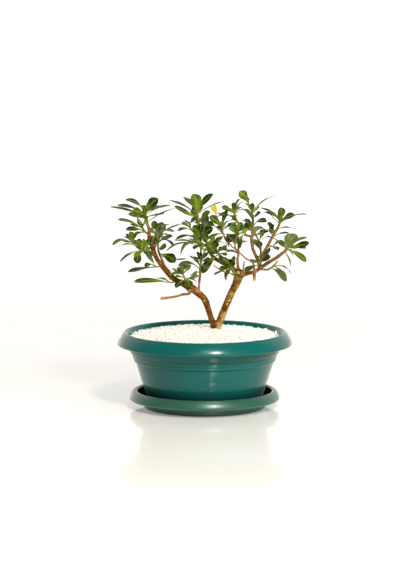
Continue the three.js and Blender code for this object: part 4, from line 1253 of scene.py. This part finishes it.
@dataclass
class Filling:
    """The white stones in the bowl and the closed bed that they lie on, in millimetres."""

    edge: float = 98.6
    edge_height: float = 92.8
    dome: float = 9.2
    dome_power: float = 2.4
    bed_bottom: float = 86
    bed_foot: float = 97.2
    bed_rings: int = 24
    bed_sides: int = 96
    bed_sunk: float = 1.1
    trunk: Span = (15.5, 12)
    trunk_radius: float = 7.4
    spacing: float = 2.75
    row_step: float = 0.866
    jitter: float = 0.8
    layer_lift: Span = (-0.7, 0.8)
    loose: int = 1300
    loose_lift: Span = (0.6, 1.9)
    heap: float = 5
    heap_lift: float = 4
    sunk: float = 0.8
    stone: float = 1.75
    handful_count: int = 60
    seed: int = 7

    def surface(self, x: float, y: float) -> float:
        """The height of the gravel's domed and slightly bumpy top.

        Args:
            x: How far right it is.
            y: How far behind it is.

        Returns:
            The height.
        """
        share = min(math.hypot(x, y) / self.edge, 1)
        bumps = 0.9 * noise.noise(Vector((x, y, 0)) * 0.06) + 0.5 * noise.noise(Vector((x, y, 5)) * 0.2)
        return self.edge_height + self.dome * (1 - share**self.dome_power) + bumps

    def bed(self) -> Mesh:
        """The closed bed under the stones.

        Returns:
            Its bmesh.
        """
        level = self.edge_height - 1
        profile = [(0, self.bed_bottom), (self.bed_foot, self.bed_bottom)]
        profile += [(self.edge * (1 - i / self.bed_rings), level) for i in range(self.bed_rings + 1)]
        bed = turned(profile, self.bed_sides)
        for corner in bed.verts:
            if corner.co.z > (level - 1) * MM:
                x, y = corner.co.x / MM, corner.co.y / MM
                corner.co.z = (self.surface(x, y) - self.bed_sunk) * MM
        return bed

    def places(self, draw: random.Random) -> list[Place]:
        """The stones' places: a jittered layer over the bed and some loose ones on it.

        Args:
            draw: The source of chance.

        Returns:
            The places.
        """
        places = []
        rows = int(self.edge / self.spacing / self.row_step) + 1
        for row in range(-rows, rows + 1):
            for column in range(-rows - 2, rows + 3):
                x = (column + row % 2 / 2) * self.spacing + draw.uniform(-self.jitter, self.jitter)
                y = row * self.spacing * self.row_step + draw.uniform(-self.jitter, self.jitter)
                places.append((x, y, draw.uniform(*self.layer_lift)))
        for _ in range(self.loose):
            turn, reach = draw.uniform(0, 2 * math.pi), self.edge * math.sqrt(draw.random())
            places.append((reach * math.cos(turn), reach * math.sin(turn), draw.uniform(*self.loose_lift)))
        inside = []
        for x, y, lift in places:
            if math.hypot(x, y) > self.edge - self.heap:
                lift += self.heap_lift * max(noise.noise(Vector((x, y, 9)) * 0.4), 0)
            off_trunk = math.hypot(x - self.trunk[0], y - self.trunk[1])
            if math.hypot(x, y) < self.edge - 1 and off_trunk > self.trunk_radius:
                inside.append((x, y, self.surface(x, y) + lift - self.sunk))
        return inside

    def handful(self, places: Sequence[Place], draw: random.Random) -> Mesh:
        """Some angular stones.

        Args:
            places: Where they lie.
            draw: The source of chance.

        Returns:
            Their bmesh.
        """
        mesh = bmesh.new()
        for place in places:
            size = self.stone * draw.uniform(0.72, 1.2)
            axis = Vector((draw.random(), draw.random(), draw.random()))
            turn = Matrix.Rotation(draw.uniform(0, 2 * math.pi), 4, axis)
            squash = (size, size * draw.uniform(0.65, 1), size * draw.uniform(0.55, 0.9), 1)
            matrix = Matrix.Translation(Vector(place) * MM) @ turn @ Matrix.Diagonal(squash)
            bmesh.ops.create_icosphere(mesh, subdivisions=1, radius=MM, matrix=matrix)
        return mesh

    def build(self) -> None:
        """Builds the bed and its stones."""
        draw = random.Random(self.seed)
        mesh = self.bed()
        places = self.places(draw)
        for start in range(0, len(places), self.handful_count):
            absorb(mesh, self.handful(places[start:start + self.handful_count], draw))
        piece = finish_mesh("white_stones", mesh, [WhiteStone().make()], crease=30)
        settle(piece, Slot.GRAVEL, "gravel")


@dataclass
class Wood:
    """The two trunks, their boughs and their bare twigs as one grown body, in millimetres.

    A cut is the crown place and the radius of a pale scar. The right trunk's mottled side starts at
    mottled_from, grows to the right over the first width of mottled_fade, and fades out over the second
    below mottled_to. Faces turned to the right get more of it, which is painted light from that side.
    """

    limbs: Mapping[str, Sequence[Station]]
    foot: tuple[Span, ...] = ((58, 6.2), (80, 7), (98, 6.4), (105, 5.8), (112, 4.6))
    foot_centre: Span = (15.5, 12)
    grain: float = 0.6
    young_radius: float = 1.4
    mottled_from: float = 14
    mottled_to: float = 176
    mottled_fade: Span = (6, 10)
    ridge_height: float = 0.32
    ridge_scale: float = 420
    cuts: tuple[Station, ...] = (
        (44, -8.4, 178, 2.8), (-20, -9, 154, 2.2), (-0.4, 1.6, 140.4, 1.7), (-3.2, 2.2, 133.5, 1.1),
        (26.7, 5.6, 137, 1.3), (31, 5.2, 140.3, 1.4), (35.5, 4.4, 144.7, 1.1), (33.8, 4, 149.7, 1),
        (65, -8, 166.5, 3.4),
    )

    def shape(self) -> Piece:
        """The limbs, melted into one skin.

        Returns:
            The wood, still smooth.
        """
        mesh = bmesh.new()
        foot = [Vector((*self.foot_centre, height)) * MM for height, _ in self.foot]
        add_limb(mesh, foot, [radius * MM for _, radius in self.foot], sides=16, steps=4, swell=0.06)
        for limb in self.limbs.values():
            points = [EYE.place(*station[:3]) for station in limb]
            add_limb(mesh, points, [station[3] * MM for station in limb], sides=14, steps=5, swell=0.12)
        bmesh.ops.recalc_face_normals(mesh, faces=mesh.faces)
        piece = finish_mesh("trunks_and_boughs", mesh, [Bark().make()], crease=70)
        melt = piece.modifiers.new("melt", "REMESH")
        melt.mode = "VOXEL"
        melt.voxel_size = self.grain * MM
        melt.use_smooth_shade = True
        even = piece.modifiers.new("even", "SMOOTH")
        even.factor = 0.5
        even.iterations = 2
        applied(piece)
        return piece

    def mottled(self, spot: Vector, normal: Vector) -> float:
        """How far a spot is on the right trunk's mottled side, more on faces turned to the right as painted
        light.

        Args:
            spot: The spot, in metres.
            normal: The surface's normal there.

        Returns:
            The share, from 0 to 1.
        """
        right = clamped((spot.x / MM - self.mottled_from) / self.mottled_fade[0])
        # Faces turned to the right get more of the paler mottled bark: painted light from the right.
        right *= clamped(0.7 + 0.6 * normal.x, low=0.2)
        return right * clamped((self.mottled_to - spot.z / MM) / self.mottled_fade[1], low=0.1, high=0.9)

    def roughen(self, piece: Piece) -> None:
        """Raises the bark's ridges and writes the growth marks that its finish reads.

        Args:
            piece: The smooth wood.
        """
        mesh = bmesh.new()
        mesh.from_mesh(piece.data)
        layer = mesh.verts.layers.float_color.new(GROWTH)
        scars = [(EYE.place(*cut[:3]), cut[3] * MM) for cut in self.cuts]
        stations = [station for limb in self.limbs.values() for station in limb]
        near = KDTree(len(stations))
        for number, station in enumerate(stations):
            near.insert(EYE.place(*station[:3]), number)
        near.balance()
        mesh.normal_update()
        for corner in mesh.verts:
            spot, normal = corner.co, corner.normal
            age = clamped(stations[near.find(spot)[1]][3] / self.young_radius - 1)
            cut = max(1 - max((spot - centre).length / reach - 0.75, 0) * 4 for centre, reach in scars)
            corner[layer] = (age, clamped(cut), self.mottled(spot, normal), 1)
            ridged = Vector((spot.x * 1.4, spot.y * 1.4, spot.z * 0.55)) * self.ridge_scale
            ridge = noise.fractal(ridged, 1, 2.1, 4)
            corner.co = spot + normal * ridge * self.ridge_height * MM * (0.35 + 0.65 * age)
        mesh.to_mesh(piece.data)
        mesh.free()

    def build(self) -> None:
        """Builds the wood."""
        piece = self.shape()
        self.roughen(piece)
        settle(piece, Slot.BARK, "wood")


def leafy_mesh() -> tuple[Mesh, Layer, Layer]:
    """An empty bmesh with its layers for the growth marks and the leaves' own maps."""
    mesh = bmesh.new()
    return mesh, mesh.verts.layers.float_color.new(GROWTH), mesh.loops.layers.uv.new(BLADE_MAP)


def mark(faces: Iterable[bmesh.types.BMFace], place: Face, layer: Layer, marks: Triple) -> None:
    """Gives faces their material place and their corners the growth marks.

    Args:
        faces: The faces.
        place: The material place.
        layer: The layer of the growth marks.
        marks: The three marks.
    """
    for face in faces:
        face.material_index = place.value
        for corner in face.verts:
            corner[layer] = (*marks, 1)


@dataclass
class Blade:
    """One leaf: its root, tip, upper normal, width and rise, in metres."""

    root: Vector
    tip: Vector
    normal: Vector
    width: float
    rise: Vector
    youth: float = 0
    yellow: float = 0
    tone: float = 0.5
    thickness: float = 0.5 * MM
    stalk_half: float = 0.55 * MM
    tip_half: float = 0.7 * MM
    cup: float = 0.2
    ripple: float = 0.07
    columns: int = 4
    stations: tuple[float, ...] = (0.0, 0.14, 0.28, 0.41, 0.54, 0.66, 0.77, 0.87, 0.94, 0.985)
    rib_sunk: float = 0.45 * MM
    rib_stations: tuple[float, ...] = (0.0, 0.2, 0.42, 0.72)
    rib_radii: tuple[float, ...] = (0.75 * MM, 0.6 * MM, 0.42 * MM, 0.2 * MM)

    def centre(self, share: float) -> Vector:
        """The place on the blade's middle line."""
        middle = (self.root + self.tip) / 2 + self.rise * 2
        return self.root.lerp(middle, share).lerp(middle.lerp(self.tip, share), share)

    def half_width(self, share: float) -> float:
        """Half the blade's width, narrow at the stalk and widest near the rounded tip."""
        outline = math.sin(math.pi * share**1.9) ** 0.8 if share > 0 else 0
        return max(outline * self.width / 2, self.stalk_half if share < 0.5 else self.tip_half)

    def frame(self, share: float) -> tuple[Vector, Vector]:
        """The blade's directions at a station.

        Args:
            share: How far along the blade it is, from 0 to 1.

        Returns:
            The directions across the blade and up from it.
        """
        along = (self.centre(min(share + 0.02, 1)) - self.centre(max(share - 0.02, 0))).normalized()
        across = (self.tip - self.root).normalized().cross(self.normal).normalized()
        return across, across.cross(along).normalized()

    def spot(self, share: float, out: float) -> Vector:
        """A place on the upper side, which is cupped and rippled.

        Args:
            share: How far along the blade it is, from 0 to 1.
            out: How far across it is, from -1 to 1.

        Returns:
            The place.
        """
        across, upward = self.frame(share)
        half = self.half_width(share)
        trough = half * self.cup * abs(out) ** 1.5 * (1 - 0.5 * share)
        ripple = half * self.ripple * out * math.sin(share * 9 + self.tone * 6)
        return self.centre(share) + across * half * out + upward * (trough + ripple)

    def mesh(self) -> Mesh:
        """The leaf with its stalk.

        Returns:
            A small bmesh of its own.
        """
        mesh, growth, blade_map = leafy_mesh()
        marks = (self.youth, self.tone, self.yellow)
        last = len(self.stations) - 1
        bmesh.ops.create_grid(mesh, x_segments=self.columns, y_segments=last, size=0.5)
        sheet = list(mesh.faces)
        mark(sheet, Face.UPPER, growth, marks)
        flat = {
            corner: (corner.co.x + 0.5, self.stations[round((corner.co.y + 0.5) * last)])
            for corner in mesh.verts
        }
        for loop in (loop for face in sheet for loop in face.loops):
            loop[blade_map].uv = flat[loop.vert]
        for corner, (across, share) in flat.items():
            corner.co = self.spot(share, (across - 0.5) * 2)
        back = bmesh.ops.extrude_face_region(mesh, geom=sheet, use_keep_orig=True)["geom"]
        lower = [item for item in back if isinstance(item, bmesh.types.BMFace)]
        below = {corner for face in lower for corner in face.verts}
        _, upward = self.frame(0.6)
        bmesh.ops.translate(mesh, verts=list(below), vec=-upward * self.thickness)
        sheet[0].normal_update()
        if sheet[0].normal.dot(upward) < 0:
            bmesh.ops.reverse_faces(mesh, faces=sheet)
        for face in lower:
            face.normal_update()
            if face.normal.dot(upward) > 0:
                face.normal_flip()
        mark(lower, Face.LOWER, growth, marks)
        points = [self.centre(share) - self.frame(share)[1] * self.rib_sunk for share in self.rib_stations]
        rib = add_limb(mesh, points, self.rib_radii, sides=5, steps=2)
        mark(rib, Face.STALK, growth, (0.6 + 0.4 * self.youth, self.tone, self.yellow))
        return mesh


@dataclass
class LeafyStem:
    """One leafy stem: the shoots of a node with their leaves.

    A whorl's sizes say how far its leaves reach sideways and tilt, and how slim they are. A bud's leaves
    get shorter, in millimetres, and lean out less, in degrees, from one to the next.
    """

    name: str
    shoots: Sequence[Shoot]
    skins: tuple[Material, ...]
    bow: float = 0.07
    young: float = 0.45
    whorl_start: float = 0.4
    whorl_sideways: float = 0.45
    whorl_rise: Span = (0.1, 0.5)
    whorl_tilt: float = 0.3
    whorl_slimness: float = 0.27
    bud_leaves: int = 6
    bud_length: Span = (17, 1.6)
    bud_lean: Span = (62, 8)
    bud_gap: float = 0.6
    bud_slimness: float = 0.38
    bud_bow: float = 0.05
    bud_youth: float = 0.9

    def chosen(self, root: Vector, row: tuple[float, ...]) -> Blade:
        """A leaf that is listed in the shoot's table.

        Args:
            root: Where it grows from the stem.
            row: Its row in the shoot's table.

        Returns:
            The blade.
        """
        _, across, behind, height, width, face, *bow = row
        tip = EYE.place(across, behind, height)
        along = (tip - root).normalized()
        viewer = (EYE.point() - root).normalized()
        facing = (viewer - along * along.dot(viewer)).normalized()
        over = along.cross(facing)
        if over.z < 0:
            over.negate()
        angle = math.radians(face)
        normal = over * math.cos(angle) + facing * math.sin(angle)
        rise = bow[0] * MM if bow else (tip - root).length * self.bow
        return Blade(root, tip, normal, width * MM, over * rise)

    def whorled(self, root: Vector, number: int, lengths: Span) -> Blade:
        """A leaf that fills the whorl between the chosen ones, mostly to the front and the back.

        Args:
            root: Where it grows from the stem.
            number: Its number in the whorl.
            lengths: The whorl's shortest and longest leaf.

        Returns:
            The blade.
        """
        turn = (number + 1) * GOLDEN_ANGLE
        draw = (number + 1) * GOLDEN_SHARE % 1
        length = (lengths[0] + (lengths[1] - lengths[0]) * draw) * MM
        rise = self.whorl_rise[0] + self.whorl_rise[1] * draw
        along = Vector((self.whorl_sideways * math.cos(turn), math.sin(turn), rise)).normalized()
        wanted = Vector((self.whorl_tilt * math.sin(2 * turn), 0, 1))
        normal = (wanted - along * along.dot(wanted)).normalized()
        width = length * self.whorl_slimness
        return Blade(root, root + along * length, normal, width, normal * length * self.bow)

    def bud_leaf(self, points: Sequence[Vector], number: int) -> Blade:
        """A small fresh leaf of the bud at a shoot's end.

        Args:
            points: The points that the shoot goes through.
            number: Its number in the bud.

        Returns:
            The blade.
        """
        along = (points[-1] - smooth_route(points, 0.9)).normalized()
        across = along.cross(Vector((0, 1, 0))).normalized()
        turn = number * GOLDEN_ANGLE
        out = across * math.cos(turn) + across.cross(along) * math.sin(turn)
        lean = math.radians(self.bud_lean[0] - self.bud_lean[1] * number)
        way = along * math.cos(lean) + out * math.sin(lean)
        normal = along * math.sin(lean) - out * math.cos(lean)
        length = (self.bud_length[0] - self.bud_length[1] * number) * MM
        root = points[-1] - along * (self.bud_leaves - 1 - number) * self.bud_gap * MM
        width, rise = length * self.bud_slimness, -normal * length * self.bud_bow
        return Blade(root, root + way * length, normal, width, rise, youth=self.bud_youth)

    def stem(self, shoot: Shoot, points: Sequence[Vector]) -> Mesh:
        """One shoot's bare stem, which is younger towards its end.

        Args:
            shoot: The shoot.
            points: The points that it goes through.

        Returns:
            The stem's bmesh.
        """
        mesh, growth, _ = leafy_mesh()
        radii = [radius * MM for radius in shoot.girth]
        for face in add_limb(mesh, points, radii, sides=8, steps=4, swell=0.12):
            face.material_index = Face.STALK.value
        reach = max((points[-1] - points[0]).length, MM)
        for corner in mesh.verts:
            youth = min((corner.co - points[0]).length / reach, 1) ** 1.5 * 0.8
            corner[growth] = (youth, 0.5, 0, 1)
        return mesh

    def leaves(self, shoot: Shoot, points: Sequence[Vector]) -> list[Blade]:
        """One shoot's leaves: the chosen ones, those that fill its whorl, and then its bud's.

        Args:
            shoot: The shoot.
            points: The points that it goes through.

        Returns:
            The blades.
        """
        leaves = []
        for number, row in enumerate(shoot.leaves):
            leaf = self.chosen(at_length(points, row[0]), row)
            leaf.youth = self.young if number in shoot.young else 0
            leaf.yellow = 1 if number in shoot.yellow else 0
            leaves.append(leaf)
        count, *lengths = shoot.fill
        for number in range(count):
            share = self.whorl_start + (1 - self.whorl_start) * (number + 0.5) / count
            leaves.append(self.whorled(at_length(points, share), number, lengths))
        if count:
            leaves += [self.bud_leaf(points, number) for number in range(self.bud_leaves)]
        for number, leaf in enumerate(leaves):
            leaf.tone = (number + 3) * GOLDEN_SHARE % 1
            leaf.youth = max(leaf.youth, 0.35 * leaf.tone**3)
        return leaves

    def build(self) -> None:
        """Builds the leafy stem."""
        mesh = leafy_mesh()[0]
        for shoot in self.shoots:
            points = [EYE.place(*place) for place in shoot.stem]
            absorb(mesh, self.stem(shoot, points))
            for leaf in self.leaves(shoot, points):
                absorb(mesh, leaf.mesh())
        piece = finish_mesh(self.name + "_leaves", mesh, self.skins, crease=50)
        settle(piece, Slot.LEAF, self.name)


@dataclass(frozen=True)
class Lamp:
    """An oblong lamp, in metres and watts, that gloss mirrors or not."""

    name: str
    place: Place
    size: Span
    power: float
    colour: Colour
    mirrored: bool = True
    target: Place = (0, 0, 0.12)


@dataclass
class Studio:
    """The pale floor, the soft light and the camera, in metres, degrees and millimetres of lens."""

    distance: float = 4.289
    height: float = 0.741
    shift_across: float = -0.0062
    tilt_down: float = 7.694
    lens: float = 208.4
    sensor: float = 36
    sight: float = 80
    table: float = 30
    lamps: tuple[Lamp, ...] = (
        Lamp("key_lamp", (0.557, -1.944, 1.57), (0.36, 0.36), 42, (1, 0.94, 0.82)),
        Lamp("key_halo", (0.4, -2.1, 1.3), (2.2, 0.5), 6, (1, 0.97, 0.9)),
        Lamp("cool_lamp", (0.03, -1.8, 1.85), (0.1, 0.1), 2.5, (0.7, 0.85, 1)),
        Lamp("right_softbox", (2.0, -1.7, 1.5), (1.4, 1.4), 34, (1, 0.98, 0.94), mirrored=False),
    )
    air: Colour = (1, 0.985, 0.965)
    room_light: float = 0.18
    backdrop_light: float = 1.0
    backdrop_from: float = 0.6

    def floor(self) -> None:
        """Builds the table top."""
        mesh = bmesh.new()
        bmesh.ops.create_grid(mesh, x_segments=8, y_segments=8, size=self.table)
        piece = finish_mesh("table_top", mesh, [PaleFloor().make()])

    def room(self) -> None:
        """Sets the light all round: a bright backdrop behind the object and a dim room before it."""
        sketch = Sketch(bpy.data.worlds.new("room"), "Background")
        behind = sketch.axes(sketch.node("TexCoord", {})["Generated"])["Y"]
        light = sketch.between(behind, 0, self.backdrop_from, self.room_light, self.backdrop_light)
        bpy.context.scene.world = sketch.surface(Color=(*self.air, 1), Strength=light)

    def lamp(self, lamp: Lamp) -> None:
        """Adds one oblong lamp.

        Args:
            lamp: What it is like.
        """
        light = bpy.data.lights.new(lamp.name, "AREA")
        light.shape = "RECTANGLE"
        light.size, light.size_y = lamp.size
        light.energy = lamp.power
        light.color = lamp.colour
        body = bpy.data.objects.new(lamp.name, light)
        body.location = lamp.place
        body.rotation_euler = (Vector(lamp.target) - Vector(lamp.place)).to_track_quat("-Z", "Y").to_euler()
        body.visible_glossy = lamp.mirrored
        bpy.context.scene.collection.objects.link(body)

    def camera(self) -> None:
        """Sets the camera."""
        data = bpy.data.cameras.new("camera")
        data.lens = self.lens
        data.sensor_width = self.sensor
        data.clip_end = self.sight
        camera = bpy.data.objects.new("camera", data)
        camera.location = (self.shift_across, -self.distance, self.height)
        camera.rotation_euler = (math.radians(90 - self.tilt_down), 0, 0)
        bpy.context.scene.collection.objects.link(camera)
        bpy.context.scene.camera = camera

    def build(self) -> None:
        """Builds the studio and shows colours as they are."""
        self.floor()
        self.room()
        for lamp in self.lamps:
            self.lamp(lamp)
        self.camera()
        bpy.context.scene.view_settings.view_transform = "Standard"


def leaf_skins() -> tuple[Material, ...]:
    """The materials of a leafy stem.

    Returns:
        They come in the order of its faces' material places.
    """
    upper = LeafSkin(
        "leaf_upper", mature=(0.007, 0.042, 0.006), fresh=(0.27, 0.38, 0.018), yellow=(0.55, 0.43, 0.02),
        rib=(0.4, 0.46, 0.06), rib_share=0.7, roughness=0.36, gloss=0.16
    )
    lower = LeafSkin(
        "leaf_lower", mature=(0.17, 0.25, 0.07), fresh=(0.3, 0.37, 0.09), yellow=(0.62, 0.5, 0.08),
        rib=(0.36, 0.42, 0.18), rib_share=0.6, roughness=0.5, gloss=0.2
    )
    return upper.make(), lower.make(), GreenStalk().make()


def dress_soil(frame: dict) -> None:
    """Gives the hidden soil, which keeps its solid, its finish.

    Args:
        frame: What the frame holds.
    """
    soil = frame["nodes"]["soil"]
    soil.data.materials.clear()
    soil.data.materials.append(DarkSoil().make())
    LOG.info("soil: finished")


def main() -> None:
    """Builds the object round its frame, then the studio."""
    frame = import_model()
    Saucer().build()
    Bowl().build()
    dress_soil(frame)
    Filling().build()
    Wood(limbs=WOOD).build()
    skins = leaf_skins()
    stems: dict[str, list[Shoot]] = {}
    for shoot in SHOOTS:
        stems.setdefault(shoot.node, []).append(shoot)
    for name, shoots in stems.items():
        LeafyStem(name, shoots, skins).build()
    Studio().build()


if __name__ == "__main__":
    main()
